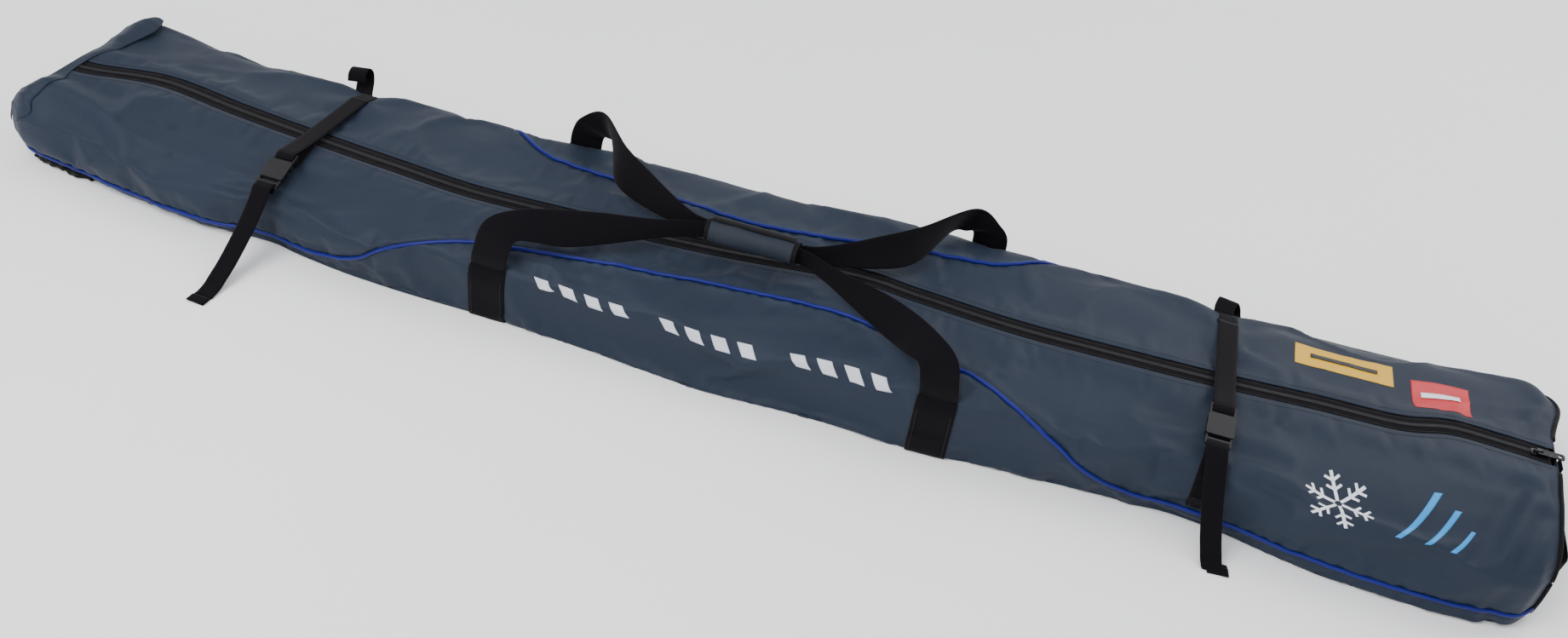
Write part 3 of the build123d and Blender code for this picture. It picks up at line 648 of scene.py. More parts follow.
@dataclass(frozen=True)
class Fold:
    """One fold in the fabric, a ridge or a valley along a line on one side of the zip.

    Its height falls off as a bell across the line, and eases in and out along it.
    """

    start: tuple[float, float]  # (x, y) in millimetres
    end: tuple[float, float]
    rise: float  # millimetres, below 0 for a valley
    width: float  # millimetres from the line to where it fades
    share: float = 0.35  # part of its length over which each end fades

    def height(self, x: Array, y: Array) -> Array:
        """Height of the fold at the points (x, y) of the section."""
        a = np.array(self.start) * MM
        b = np.array(self.end) * MM
        run = b - a
        size = math.hypot(*run)
        along = ((x - a[0]) * run[0] + (y - a[1]) * run[1]) / size ** 2
        off = ((x - a[0]) * run[1] - (y - a[1]) * run[0]) / size
        ends = ease(along / self.share + 0.5) * ease((1.0 - along) / self.share + 0.5)
        return self.rise * MM * ends * bell(off, self.width * MM)


FOLDS = [
    # narrow end
    Fold((-1040, -20), (-930, -70), -7.0, 16.0),
    Fold((-1035, -60), (-880, -120), 5.0, 20.0),
    Fold((-1040, 30), (-900, 95), 4.0, 22.0),
    # wide end
    Fold((1010, -60), (960, -150), -4.0, 12.0),
    Fold((1035, -100), (1000, -165), -4.0, 9.0),
    Fold((1020, -80), (985, -160), 3.0, 9.0),
]


# ---- filling and shell
def taps(share: Array) -> list[Array]:
    """Four weights of a smooth curve through neighbouring values, at a share from 0 to 1."""
    two, three = share ** 2, share ** 3
    return [(-share + 2 * two - three) / 2, (2 - 5 * two + 3 * three) / 2,
            (share + 4 * two - 3 * three) / 2, (three - two) / 2]


def smooth_read(grid: Array, row: Array, column: Array) -> Array:
    """Values of a grid (rows, columns, n) at fractional rows and columns, without facets."""
    row, column = np.broadcast_arrays(row, column)
    r, c = np.floor(row).astype(int), np.floor(column).astype(int)
    total = np.zeros(row.shape + grid.shape[2:])
    for i, by_row in enumerate(taps(row - r)):
        for j, by_column in enumerate(taps(column - c)):
            at = grid[np.clip(r + i - 1, 0, len(grid) - 1), np.clip(c + j - 1, 0, grid.shape[1] - 1)]
            total += (by_row * by_column)[..., None] * at
    return total


HOLD_GROUP = "held"
HOLD_STEPS = 20
CLOTH_SETTINGS = {
    "quality": 6, "mass": 0.20, "tension_stiffness": 25.0, "compression_stiffness": 25.0,
    "shear_stiffness": 8.0, "bending_stiffness": 6.0, "air_damping": 2.0, "use_pressure": True,
    "vertex_group_mass": HOLD_GROUP}


@dataclass
class Filling:
    """Cloth simulation that lets the filled, slightly loose shell find its own creases.

    A coarse closed cage of the whole shell is cut a little too large, held along the zip,
    the base and the ends, held almost as firmly below belts, straps and piping, and blown
    up from inside. How far its points moved, capped, is then read by the fine grids.
    """

    form: BagForm
    rows: int = 231
    columns: int = 30
    frames: int = 22
    slack: float = 0.013
    pressure: float = 3.0
    cap: float = 0.0085

    def held(self, x: Array, t: Array) -> Array:
        """How firmly each point is held, from 0, free, to 1, fixed."""
        reach = np.abs(x)
        hold = np.maximum(1.0 - ease(t / 0.07), ease((t - 0.93) / 0.05))
        hold = np.maximum(hold, 1.0 - ease((self.form.length / 2 - reach) / 0.030))
        seam = 0.95 * bell((t - self.form.seam(x)) * self.form.girth, 0.008)
        strap = 0.90 * bell(reach - self.form.strap_x, 0.016)
        belt = 0.85 * bell(reach - self.form.belt_x, 0.026) * ease((t - 0.35) / 0.1)
        hold = np.maximum(np.maximum(hold, seam), np.maximum(strap, belt))
        return np.clip(hold, 0.0, 1.0)

    def cage(self, start: Array, hold: Array) -> bpy.types.Object:
        """Closed mesh of the whole shell whose vertex group says how each point is held.

        Args:
            start: Array (rows, points round the section, 3).
            hold: Array (rows, points round the section), from 0 to 1.

        Returns:
            The cage, in the scene.
        """
        rows, ring = hold.shape
        faces = grid_faces(rows, ring, wrap=True).tolist() + end_caps(rows, ring)
        mesh = bpy.data.meshes.new("filling_cage")
        mesh.from_pydata(start.reshape(-1, 3).tolist(), [], faces)
        cage = bpy.data.objects.new("filling_cage", mesh)
        bpy.context.scene.collection.objects.link(cage)
        group = cage.vertex_groups.new(name=HOLD_GROUP)
        steps = np.round(hold.ravel() * HOLD_STEPS).astype(int)
        for step in range(HOLD_STEPS + 1):
            group.add(np.flatnonzero(steps == step).tolist(), step / HOLD_STEPS, "REPLACE")
        return cage

    def moves(self) -> dict[int, Array]:
        """Run it and give the moves of both sides as grids (rows, columns from the zip, 3)."""
        x = np.linspace(-self.form.length / 2, self.form.length / 2, self.rows)[:, None]
        t = np.linspace(0.0, 1.0, self.columns)[None, :]
        start = np.concatenate([self.form.skin(x, -1, t[:, ::-1]), self.form.skin(x, 1, t)], axis=1)
        cage = self.cage(start, np.concatenate([self.held(x, t[:, ::-1]), self.held(x, t)], axis=1))
        cloth = cage.modifiers.new("filling", "CLOTH")
        for name, value in {**CLOTH_SETTINGS, "uniform_pressure_force": self.pressure,
                            "shrink_min": -self.slack}.items():
            setattr(cloth.settings, name, value)
        cloth.settings.effector_weights.gravity = 0.0
        cloth.collision_settings.use_collision = False
        cloth.point_cache.frame_start, cloth.point_cache.frame_end = 1, self.frames
        scene = bpy.context.scene
        for number in range(1, self.frames + 1):
            scene.frame_set(number)
        done = cage.evaluated_get(bpy.context.evaluated_depsgraph_get()).data
        move = vertex_places(done).reshape(start.shape).astype(float) - start
        size = np.linalg.norm(move, axis=-1, keepdims=True)
        log.info("filling moved the shell by %.1f mm on average, %.1f mm at most",
                 size.mean() / MM, size.max() / MM)
        move = move * np.tanh(size / self.cap) * self.cap / np.maximum(size, 1e-9)
        mesh = cage.data
        bpy.data.objects.remove(cage)
        bpy.data.meshes.remove(mesh)
        scene.frame_set(1)
        return {-1: move[:, :self.columns][:, ::-1], 1: move[:, self.columns:]}


LAST_CELL = 1.001  # keeps a fractional row or column inside the last cell


@dataclass
class Shell:
    """The bag's fabric as grids of points, and the surface that all else lies on."""

    form: BagForm
    rows: int = 600
    columns: int = 46
    moves: dict[int, Array] = field(default_factory=dict)
    grids: dict[tuple[str, int], Array] = field(default_factory=dict)

    def __post_init__(self) -> None:
        """Work out the four grids, rows along x and columns away from the zip."""
        x = np.linspace(-self.form.length / 2, self.form.length / 2, self.rows)[:, None]
        seam = self.form.seam(x)
        share = np.linspace(0.0, 1.0, self.columns)[None, :]
        for side in (-1, 1):
            for part, t in (("top", seam * share), ("side", seam + (1.0 - seam) * share)):
                grid = self.form.skin(x, side, t)
                if side in self.moves:
                    move = self.moves[side]
                    row = (x / self.form.length + 0.5) * (move.shape[0] - 1)
                    grid = grid + smooth_read(move, row, t * (move.shape[1] - 1))
                    grid[..., 2] = np.maximum(grid[..., 2], self.form.lowest)
                self.grids[part, side] = grid

    def normals(self, part: str, side: int) -> Array:
        """Outward unit normals of one grid."""
        grid = self.grids[part, side]
        return side * grid_normals(grid)

    def at(self, x: Array | float, side: int, t: Array | float, out: Array | float = 0.0) -> Array:
        """Place that stands `out` off the fabric, read between the grids' points.

        Args:
            x: Along the zip.
            side: -1 near, 1 far.
            t: Share of the way from the zip's edge to the base.
            out: Height above the fabric.

        Returns:
            Array (..., 3).
        """
        x, t = np.broadcast_arrays(np.asarray(x, float), np.asarray(t, float))
        seam = self.form.seam(x)
        row = np.clip((x / self.form.length + 0.5) * (self.rows - 1), 0, self.rows - LAST_CELL)
        places = []
        for part, share in (("top", t / seam), ("side", (t - seam) / (1.0 - seam))):
            column = np.clip(share, 0.0, 1.0) * (self.columns - 1)
            column = np.minimum(column, self.columns - LAST_CELL)
            points = bilinear(self.grids[part, side], row, column)
            normal = unit(bilinear(self.normals(part, side), row, column))
            places.append(points + normal * np.asarray(out)[..., None])
        return np.where((t <= seam)[..., None], places[0], places[1])


def bilinear(grid: Array, row: Array, column: Array) -> Array:
    """Values of a grid (rows, columns, n) at fractional rows and columns."""
    r = np.floor(row).astype(int)
    c = np.floor(column).astype(int)
    fr = (row - r)[..., None]
    fc = (column - c)[..., None]
    upper = grid[r, c] * (1 - fc) + grid[r, c + 1] * fc
    lower = grid[r + 1, c] * (1 - fc) + grid[r + 1, c + 1] * fc
    return upper * (1 - fr) + lower * fr


# ---- finishes
MIX_SHARE, MIX_FIRST, MIX_SECOND, MIX_RESULT = 0, 6, 7, 2  # sockets of a Mix node for colours
DAMP_COLOUR = "#141c28"
FLECK_PITCHES = 2.2  # size of a cloth's flecks, in its thread pitches
GRAIN_SHARE = 0.22
RIB_STRETCH = 0.25  # a ribbed cloth's rib pitch over the pitch of its lengthwise threads
CRUMPLE_SCALE, CRUMPLE_DEPTH = 85.0, 0.0007
RUB_SCALE = 90.0
# cracks in cells of 3 mm, drawn about three times as coarse as real ones
CRACK_SCALE, CRACK_SHARE = 330.0, 0.35


def linear(hex_colour: str) -> tuple[float, float, float, float]:
    """Linear RGBA of an sRGB hex colour such as #3b4a5c."""
    parts = [int(hex_colour[i:i + 2], 16) / 255 for i in (1, 3, 5)]
    return tuple(c / 12.92 if c <= 0.04045 else ((c + 0.055) / 1.055) ** 2.4 for c in parts) + (1.0,)


def add_node(tree: bpy.types.NodeTree, kind: str, links: dict[str | int, object] | None = None,
             **settings: object) -> bpy.types.Node:
    """Add a node with its settings, input values and links.

    Args:
        tree: Tree that the node goes into.
        kind: Blender's name of the node.
        links: For each input, a value, or an output socket to link from.
        settings: Properties of the node.

    Returns:
        The node.
    """
    made = tree.nodes.new(kind)
    for key, value in settings.items():
        setattr(made, key, value)
    for key, value in (links or {}).items():
        if isinstance(value, bpy.types.NodeSocket):
            tree.links.new(value, made.inputs[key])
        else:
            made.inputs[key].default_value = value
    return made


def empty_material(name: str) -> tuple[bpy.types.Material, bpy.types.NodeTree]:
    """New material with nodes on and none in it."""
    material = bpy.data.materials.new(name)
    material.use_nodes = True
    material.node_tree.nodes.clear()
    return material, material.node_tree


def close_material(tree: bpy.types.NodeTree, links: dict[str | int, object]) -> None:
    """Add the shader and the output to a tree."""
    shader = add_node(tree, "ShaderNodeBsdfPrincipled", links)
    add_node(tree, "ShaderNodeOutputMaterial", {"Surface": shader.outputs["BSDF"]})


def mix(tree: bpy.types.NodeTree, share: object, first: object, second: object,
        **settings: object) -> bpy.types.NodeSocket:
    """Colour between two others; each argument is a value or a socket."""
    links = {MIX_SHARE: share, MIX_FIRST: first, MIX_SECOND: second}
    return add_node(tree, "ShaderNodeMix", links, data_type="RGBA", **settings).outputs[MIX_RESULT]


def multiply(tree: bpy.types.NodeTree, first: object, second: object) -> bpy.types.NodeSocket:
    """Product of two numbers."""
    return add_node(tree, "ShaderNodeMath", {0: first, 1: second}, operation="MULTIPLY").outputs[0]


def noise(tree: bpy.types.NodeTree, place: object, scale: float,
          **settings: float) -> bpy.types.NodeSocket:
    """Noise texture's value at a place; settings are further inputs such as Detail."""
    links = {"Vector": place, "Scale": scale, **settings}
    return add_node(tree, "ShaderNodeTexNoise", links).outputs["Fac"]


def remap(tree: bpy.types.NodeTree, value: object, low: float, high: float,
          start: float = 0.0, stop: float = 1.0) -> bpy.types.NodeSocket:
    """Value between low and high as the given one goes from start to stop."""
    links = {"Value": value, "From Min": start, "From Max": stop, "To Min": low, "To Max": high}
    return add_node(tree, "ShaderNodeMapRange", links).outputs[0]


def bump(tree: bpy.types.NodeTree, height: object, strength: float, distance: float,
         normal: bpy.types.NodeSocket | None = None) -> bpy.types.NodeSocket:
    """Normal of a relief of the given distance in metres, on top of another normal if given."""
    links = {"Strength": strength, "Distance": distance, "Height": height}
    if normal is not None:
        links["Normal"] = normal
    return add_node(tree, "ShaderNodeBump", links).outputs[0]


def wave_scale(pitch_mm: float) -> float:
    """Scale at which a wave texture's bands repeat every pitch, its period being pi / 10."""
    return math.pi / 10.0 / (pitch_mm * MM)


class Weave(Enum):
    """How a cloth's threads lie."""

    PLAIN = "plain"
    RIBBED = "ribbed"
    TWILL = "twill"


@dataclass(frozen=True)
class Cloth:
    """Woven cloth: two sets of threads, a slow change of tone, and wear or damp marks.

    The threads are bands across the cloth's own UV, which is in metres. The attribute
    `wear` lightens the colour and `damp` darkens it, both from 0 to 1.
    """

    name: str
    colour: str
    shade: str
    worn: str
    pitch_mm: float
    weave: Weave
    roughness: float
    sheen: float
    bump_mm: float
    tone_size_mm: float = 160.0
    coat: float = 0.0
    specular: float = 0.25

    def make(self) -> bpy.types.Material:
        """Build the material."""
        material, tree = empty_material(self.name)
        place = add_node(tree, "ShaderNodeTexCoord")
        cloth, body = place.outputs["UV"], place.outputs["Object"]
        turn = math.radians(45.0) if self.weave is Weave.TWILL else 0.0
        flat = add_node(tree, "ShaderNodeMapping", {"Vector": cloth, "Rotation": (0.0, 0.0, turn)})
        rib = RIB_STRETCH if self.weave is Weave.RIBBED else 1.0
        warp, weft = (
            add_node(tree, "ShaderNodeTexWave",
                     {"Vector": flat.outputs[0], "Scale": wave_scale(self.pitch_mm) * stretch,
                      "Distortion": 0.4, "Detail": 1.0},
                     wave_type="BANDS", bands_direction=way).outputs["Fac"]
            for way, stretch in (("X", 1.0), ("Y", rib)))
        share = 0.5 if self.weave is Weave.PLAIN else 0.3
        threads = add_node(tree, "ShaderNodeMix", {0: share, 2: warp, 3: weft}).outputs[0]
        tone = noise(tree, body, 1.0 / (self.tone_size_mm * MM), Detail=5.0)
        fleck = noise(tree, body, 1.0 / (self.pitch_mm * FLECK_PITCHES * MM), Detail=2.0)
        colour = mix(tree, tone, linear(self.shade), linear(self.colour))
        grain = multiply(tree, fleck, threads)
        colour = mix(tree, GRAIN_SHARE, colour, grain, blend_type="OVERLAY")
        for mark, tint in (("wear", self.worn), ("damp", DAMP_COLOUR)):
            amount = add_node(tree, "ShaderNodeAttribute", attribute_name=mark).outputs["Fac"]
            colour = mix(tree, amount, colour, linear(tint))
        rough = remap(tree, tone, self.roughness - 0.07, self.roughness + 0.07)
        crumple = noise(tree, body, CRUMPLE_SCALE, Detail=3.0, Distortion=0.6)
        soft = bump(tree, crumple, 0.35, CRUMPLE_DEPTH)
        normal = bump(tree, threads, 0.6, self.bump_mm * MM, soft)
        close_material(tree, {"Base Color": colour, "Roughness": rough, "Normal": normal,
                              "Sheen Weight": self.sheen, "Sheen Roughness": 0.45,
                              "Coat Weight": self.coat, "Coat Roughness": 0.4, "IOR": 1.5,
                              "Specular IOR Level": self.specular})
        return material


@dataclass(frozen=True)
class Moulded:
    """Moulded plastic or enamelled metal: an even colour with a fine spark-eroded grain."""

    name: str
    colour: str
    edge: str
    roughness: float
    grain_mm: float
    bump_mm: float
    metallic: float = 0.0
    ior: float = 1.5

    def make(self) -> bpy.types.Material:
        """Build the material."""
        material, tree = empty_material(self.name)
        place = add_node(tree, "ShaderNodeTexCoord").outputs["Object"]
        grain = noise(tree, place, 1.0 / (self.grain_mm * MM), Detail=3.0)
        rub = noise(tree, place, RUB_SCALE, Detail=6.0)
        worn = remap(tree, rub, 0.0, 1.0, start=0.56, stop=0.72)
        colour = mix(tree, worn, linear(self.colour), linear(self.edge))
        rough = remap(tree, rub, self.roughness - 0.08, self.roughness + 0.10)
        normal = bump(tree, grain, 0.5, self.bump_mm * MM)
        close_material(tree, {"Base Color": colour, "Roughness": rough, "Normal": normal,
                              "Metallic": self.metallic, "IOR": self.ior})
        return material


@dataclass(frozen=True)
class Ink:
    """Flexible transfer print on the fabric: dense colour with small cracks in it."""

    name: str
    colour: str
    crack: str

    def make(self) -> bpy.types.Material:
        """Build the material."""
        material, tree = empty_material(self.name)
        place = add_node(tree, "ShaderNodeTexCoord").outputs["Object"]
        cells = add_node(tree, "ShaderNodeTexVoronoi", {"Vector": place, "Scale": CRACK_SCALE},
                         feature="DISTANCE_TO_EDGE").outputs["Distance"]
        edge = remap(tree, cells, CRACK_SHARE, 0.0, stop=0.05)
        amount = multiply(tree, edge, noise(tree, place, 40.0, Detail=4.0))
        colour = mix(tree, amount, linear(self.colour), linear(self.crack))
        normal = bump(tree, noise(tree, place, 900.0), 0.25, 0.0002)
        close_material(tree, {"Base Color": colour, "Roughness": 0.42, "Normal": normal,
                              "IOR": 1.48})
        return material


# Polyester shell, plain weave with a matt polyurethane back: soft highlights along the
# folds. Threads of 0.45 mm, drawn at 1.3 mm because finer ones vanish.
SHELL = Cloth("coated_polyester_slate", "#212b3b", "#1a2331", "#3b4654", 1.3, Weave.PLAIN,
              0.56, 0.02, 0.16, specular=0.20)
# Base panel: the same cloth with a thicker coat, darker and smoother.
BASE = Cloth("coated_polyester_base", "#12171f", "#0d1117", "#262c36", 1.6, Weave.PLAIN,
             0.50, 0.02, 0.30)
# Piping: cord covered in royal blue coated cloth cut on the bias, glossier than the shell.
PIPING = Cloth("bias_piping_royal_blue", "#06127a", "#040c50", "#1a3296", 1.1, Weave.TWILL,
               0.40, 0.02, 0.08, coat=0.05, specular=0.20)
# Webbing: spun polypropylene with ribs across it every 1.6 mm, matt and slightly hairy.
WEBBING = Cloth("polypropylene_webbing_black", "#0a070d", "#060408", "#1b171e", 1.6,
                Weave.RIBBED, 0.86, 0.05, 0.18, 60.0, specular=0.10)
# Zip tape: fine polyester twill, a dense black without gloss.
TAPE = Cloth("polyester_zip_tape_black", "#0a070d", "#060508", "#18141b", 0.9, Weave.TWILL,
             0.84, 0.04, 0.12, 60.0, specular=0.10)
# Binding: narrow grosgrain with cross ribs, a little shinier than the webbing.
BINDING = Cloth("grosgrain_binding_black", "#0a080d", "#060508", "#1b171e", 1.4,
                Weave.RIBBED, 0.72, 0.05, 0.18, 40.0, specular=0.14)
# Grip: the shell's cloth over foam, rubbed smoother and darker by hands.
GRIP = Cloth("padded_polyester_grip", "#1b2431", "#141b25", "#313b48", 1.2, Weave.PLAIN,
             0.56, 0.02, 0.26, 50.0)
# Coil: nylon monofilament, black with small sharp glints.
COIL = Moulded("nylon_coil_black", "#0b0a0f", "#1c1a20", 0.36, 0.6, 0.05)
# Slider and stops: die-cast zinc under black enamel, chipped to grey at places.
ENAMEL = Moulded("enamelled_zinc_black", "#141416", "#46464a", 0.36, 1.2, 0.05, 0.75)
# Buckles: moulded acetal, satin from the spark-eroded mould.
ACETAL = Moulded("moulded_acetal_black", "#070609", "#121116", 0.46, 0.7, 0.08, 0.0, 1.42)
# Sewing thread: bonded nylon, one grey lighter than the tape.
THREAD = Moulded("bonded_nylon_thread", "#26262e", "#3c3c45", 0.6, 0.5, 0.05)
THREAD_DARK = Moulded("bonded_nylon_thread_black", "#141118", "#211e26", 0.6, 0.5, 0.05)
INK_GREY = Ink("transfer_ink_lilac_grey", "#c3c4d0", "#5a626f")
INK_WHITE = Ink("transfer_ink_white", "#dfe1ea", "#6d7480")
INK_BLUE = Ink("transfer_ink_sky_blue", "#0d84c8", "#275878")
INK_YELLOW = Ink("transfer_ink_yellow", "#cf9f0c", "#6a5520")
INK_RED = Ink("transfer_ink_red", "#bb0a1c", "#5a1c26")
INK_DARK = Ink("transfer_ink_black", "#0e0f13", "#262c35")

_made: dict[str, bpy.types.Material] = {}


def dress(obj: bpy.types.Object, finish: Cloth | Moulded | Ink) -> None:
    """Give a piece one finish, made the first time that it is asked for."""
    if finish.name not in _made:
        _made[finish.name] = finish.make()
    obj.data.materials.clear()
    obj.data.materials.append(_made[finish.name])


def settle(obj: bpy.types.Object, finish: Cloth | Moulded | Ink,
           body: str | None = "bag", replaces: Sequence[str] = ()) -> None:
    """Finish a piece: its look, the body it rides on and what it stands for."""
    dress(obj, finish)
    if body is not None:
        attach(obj, body)
    if replaces:
        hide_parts(*replaces)
    log.info("%s: %d faces", obj.name, len(obj.data.polygons))


def set_attribute(obj: bpy.types.Object, name: str, values: Array) -> None:
    """Store one number for each vertex, for the finish to read."""
    layer = obj.data.attributes.new(name, "FLOAT", "POINT")
    layer.data.foreach_set("value", np.asarray(values, np.float32).ravel())


# ---- the bag itself
SIDE_NAME = {-1: "near", 1: "far"}
END_NAME = {-1: "narrow", 1: "wide"}
WEAR_COLUMNS = 1.6  # reach of the wear beside a seam, in a panel's columns
UP = np.array([0.0, 0.0, 1.0])
ALONG = np.array([1.0, 0.0, 0.0])
ACROSS = np.array([0.0, 1.0, 0.0])
IN_SECTION = np.array([0.0, 1.0, 1.0])  # leaves only what lies in the section's plane


@dataclass
class BagBody:
    """Shell panels, base, ends, piping and the folded gusset of the narrow end."""

    shell: Shell
    fabric: float = 0.0012
    base_thickness: float = 0.0022
    piping_radius: float = 0.0028
    end_bulge: float = 0.004
    end_crease: float = 0.0025
    end_wave: float = 0.0020
    end_level: float = 0.002  # taken off the bulge, the creases' mean height
    piping_waver: float = 0.0004
    binding_radius: float = 0.0030
    binding_low: float = 0.0032  # height of the end binding's middle where it lies on the floor
    fold_t: float = 0.54  # where both ends of the folded strip stop, down each side
    fold_turn: float = 0.30  # share of the strip's width that wraps the edge
    fold_reach: float = 0.036
    corner_length: float = 0.088
    droplets: tuple[tuple[float, float, float], ...] = (
        (-838.0, -66.0, 7.0), (-905.0, -92.0, 5.0), (-868.0, -70.0, 3.5), (-812.0, -113.0, 4.0),
        (-744.0, -36.0, 3.0), (-690.0, 42.0, 3.5), (-560.0, -20.0, 3.0))

    def build(self) -> None:
        """Build every piece."""
        for side in (-1, 1):
            self.panel("top", side)
            self.panel("side", side)
            self.piping(side)
        self.base()
        for end in (-1, 1):
            self.end_panel(end)
        self.wide_end_piping()
        self.narrow_end_fold()
        self.corner_binding()

    def panel(self, part: str, side: int) -> None:
        """One shell panel from its grid, with wear along its seam and a few water marks."""
        grid = self.shell.grids[part, side]
        inner = grid - self.shell.normals(part, side) * self.fabric / 2
        obj = slab(f"{part}_fabric_{SIDE_NAME[side]}", inner, self.fabric, outward=side > 0)
        ring = len(obj.data.vertices) // self.shell.rows
        at = vertex_places(obj.data)
        column = np.arange(len(at)) % ring
        seam_column = self.shell.columns - 1 if part == "top" else 0
        near = np.minimum(np.abs(column - seam_column), np.abs(ring - 2 - seam_column - column))
        rub = soft_noise(at[:, 0], at[:, 1], 5, 0.10, 0.06)
        wear = bell(near, WEAR_COLUMNS) * np.clip(0.30 + 0.25 * rub, 0.0, 0.6)
        damp = np.zeros(len(at))
        if part == "top":
            for x, y, size in self.droplets:
                gap = np.hypot(at[:, 0] - x * MM, at[:, 1] - y * MM) / (size * MM)
                damp = np.maximum(damp, 0.75 * np.clip(1.6 - gap, 0.0, 1.0))
        set_attribute(obj, "wear", wear)
        set_attribute(obj, "damp", damp)
        settle(obj, SHELL, replaces=[f"{part}_panel_{SIDE_NAME[side]}"])

    def base(self) -> None:
        """Base panel: a flat grid between the two lower edges."""
        near = self.shell.grids["side", -1][:, -1]
        far = self.shell.grids["side", 1][:, -1]
        share = np.linspace(0.0, 1.0, 25)[None, :, None]
        grid = near[:, None] * (1 - share) + far[:, None] * share
        grid[..., 2] = self.base_thickness / 2 + 0.0002  # just clear of the floor
        obj = slab("base_fabric", grid, self.base_thickness, outward=False)
        settle(obj, BASE, replaces=["bottom_panel"])

    def end_grid(self, end: int) -> Array:
        """Grid of an end panel: level slices from the near outline to the far outline.

        The panel bulges out as the product of two arches, and carries creases.
        """
        x = end * self.shell.form.length / 2
        t = np.linspace(0.0, 1.0, 60)
        near = self.shell.at(x, -1, t)
        far = self.shell.at(x, 1, t)
        share = np.linspace(0.0, 1.0, 60)[None, :]
        grid = near[:, None] * (1 - share[..., None]) + far[:, None] * share[..., None]
        arch = (1 - (2 * share - 1) ** 6) * (1 - (2 * t[:, None] - 1) ** 6)
        crease = crease_noise(grid[..., 1], grid[..., 2], 43, 0.13, 0.07)
        wave = soft_noise(grid[..., 1], grid[..., 2], 44, 0.20, 0.09)
        grid[..., 0] = (x + (near[:, None, 0] - x) * (1 - share) ** 4
                        + (far[:, None, 0] - x) * share ** 4)
        grid[..., 0] += end * arch * (self.end_bulge + self.end_crease * crease
                                      + self.end_wave * wave - self.end_level)
        return grid

    def end_panel(self, end: int) -> None:
        """One end panel."""
        grid = self.end_grid(end)
        obj = slab(f"end_fabric_{END_NAME[end]}", grid, self.fabric, outward=end > 0)
        settle(obj, SHELL, replaces=[f"end_panel_{END_NAME[end]}"])

    def piping(self, side: int) -> None:
        """Piping along one seam: a round cord lying in the dip of the seam.

        It wavers by a fraction of a millimetre, as a sewn cord does.
        """
        reach = self.shell.form.length / 2 - 0.003
        x = np.linspace(-reach, reach, 1400)
        t = self.shell.form.seam(x)
        waver = self.piping_waver * soft_noise(x, x * 0, 61 + side, 0.05, 1.0)
        line = self.shell.at(x, side, t, self.piping_radius * 0.70 + waver)
        line = soften(line, 15)
        obj = tube(f"piping_cord_{SIDE_NAME[side]}", line, self.piping_radius, 12)
        settle(obj, PIPING, replaces=[f"piping_{SIDE_NAME[side]}"])

    def wide_end_piping(self) -> None:
        """Bound seam that frames the wide end panel, a cord with one turn round the end."""
        x = self.shell.form.length / 2
        t = np.linspace(0.02, 0.995, 120)
        near = self.shell.at(x, -1, t, 0.0)
        far = self.shell.at(x, 1, t[::-1], 0.0)
        low = near[-1] + (far[0] - near[-1]) * np.linspace(0.03, 0.97, 40)[:, None]
        line = np.vstack([near, low, far])
        centre = np.array([x, 0.0, self.shell.form.height_wide * 0.45])
        line = line + unit((centre - line) * IN_SECTION) * 0.0012
        line[:, 0] += 0.0022
        line[:, 2] = np.maximum(line[:, 2], self.binding_low)
        line = soften(even_path(spline(line[::4], 5), 0.004), 5)
        obj = tube("end_binding_wide", line, self.binding_radius)
        settle(obj, BINDING, replaces=["end_piping_wide"])

    def narrow_end_fold(self) -> None:
        """Gusset strip folded over the top edge of the narrow end.

        A strip follows the end's outline from the near side, over the top, to the far
        side. Across itself it wraps from the end panel over the edge and on to the top,
        and its inner edge puckers.
        """
        x = -self.shell.form.length / 2
        half = 90  # rows of the strip on each side of the zip
        t = np.concatenate([np.linspace(self.fold_t, 0.0, half), np.linspace(0.0, self.fold_t, half)])
        near = np.repeat([True, False], half)[:, None, None]
        across = np.linspace(0.0, 1.0, 26)[None, :]
        along = np.linspace(0.0, 1.0, 2 * half)[:, None]
        width = self.fold_reach + 0.005 * soft_noise(along, along * 0, 81, 0.3, 1.0)
        ends = ease(along / 0.16) * ease((1 - along) / 0.16)
        width = width * (0.40 + 0.60 * ends)
        width = width * (1.0 - 0.68 * bell(along - 0.5, 0.055))  # narrower beside the zip
        inner = np.maximum(across - self.fold_turn, 0.0) / (1.0 - self.fold_turn)
        xs = x + inner * width
        depth = np.broadcast_to(t[:, None], xs.shape)
        grid = np.where(near, self.shell.at(xs, -1, depth), self.shell.at(xs, 1, depth))
        middle = np.array([0.0, 0.0, 0.045])
        out = unit((grid - middle) * IN_SECTION * 0.7 + UP * 0.3)
        lift = 0.0016 + 0.0032 * ends * np.sin(math.pi * np.clip(inner, 0, 1)) ** 0.5
        lift = lift + 0.0032 * ends * crease_noise(along * 0.5, across * 0.03, 83, 0.085, 0.060)
        lift = lift * (0.45 + 0.55 * ease((1.0 - across) / 0.10))
        lift = lift + 0.009 * ease((along - 0.62) / 0.20) * ease((0.95 - along) / 0.10)
        lift = lift * (1.0 - 0.9 * bell(along - 0.5, 0.07))  # and lower
        grid = grid + out * np.maximum(lift, 0.0008)[..., None]
        wrap = np.clip(self.fold_turn - across, 0.0, self.fold_turn) / self.fold_turn
        grid[..., 0] += -0.006 * np.sin(wrap * math.pi / 2)
        grid = grid - out * (0.012 * (1 - np.cos(wrap * math.pi / 2)))[..., None]
        obj = slab("end_fold_strip", smooth_rows(grid, 6), self.fabric, outward=False)
        settle(obj, SHELL, replaces=["end_fold_narrow"])

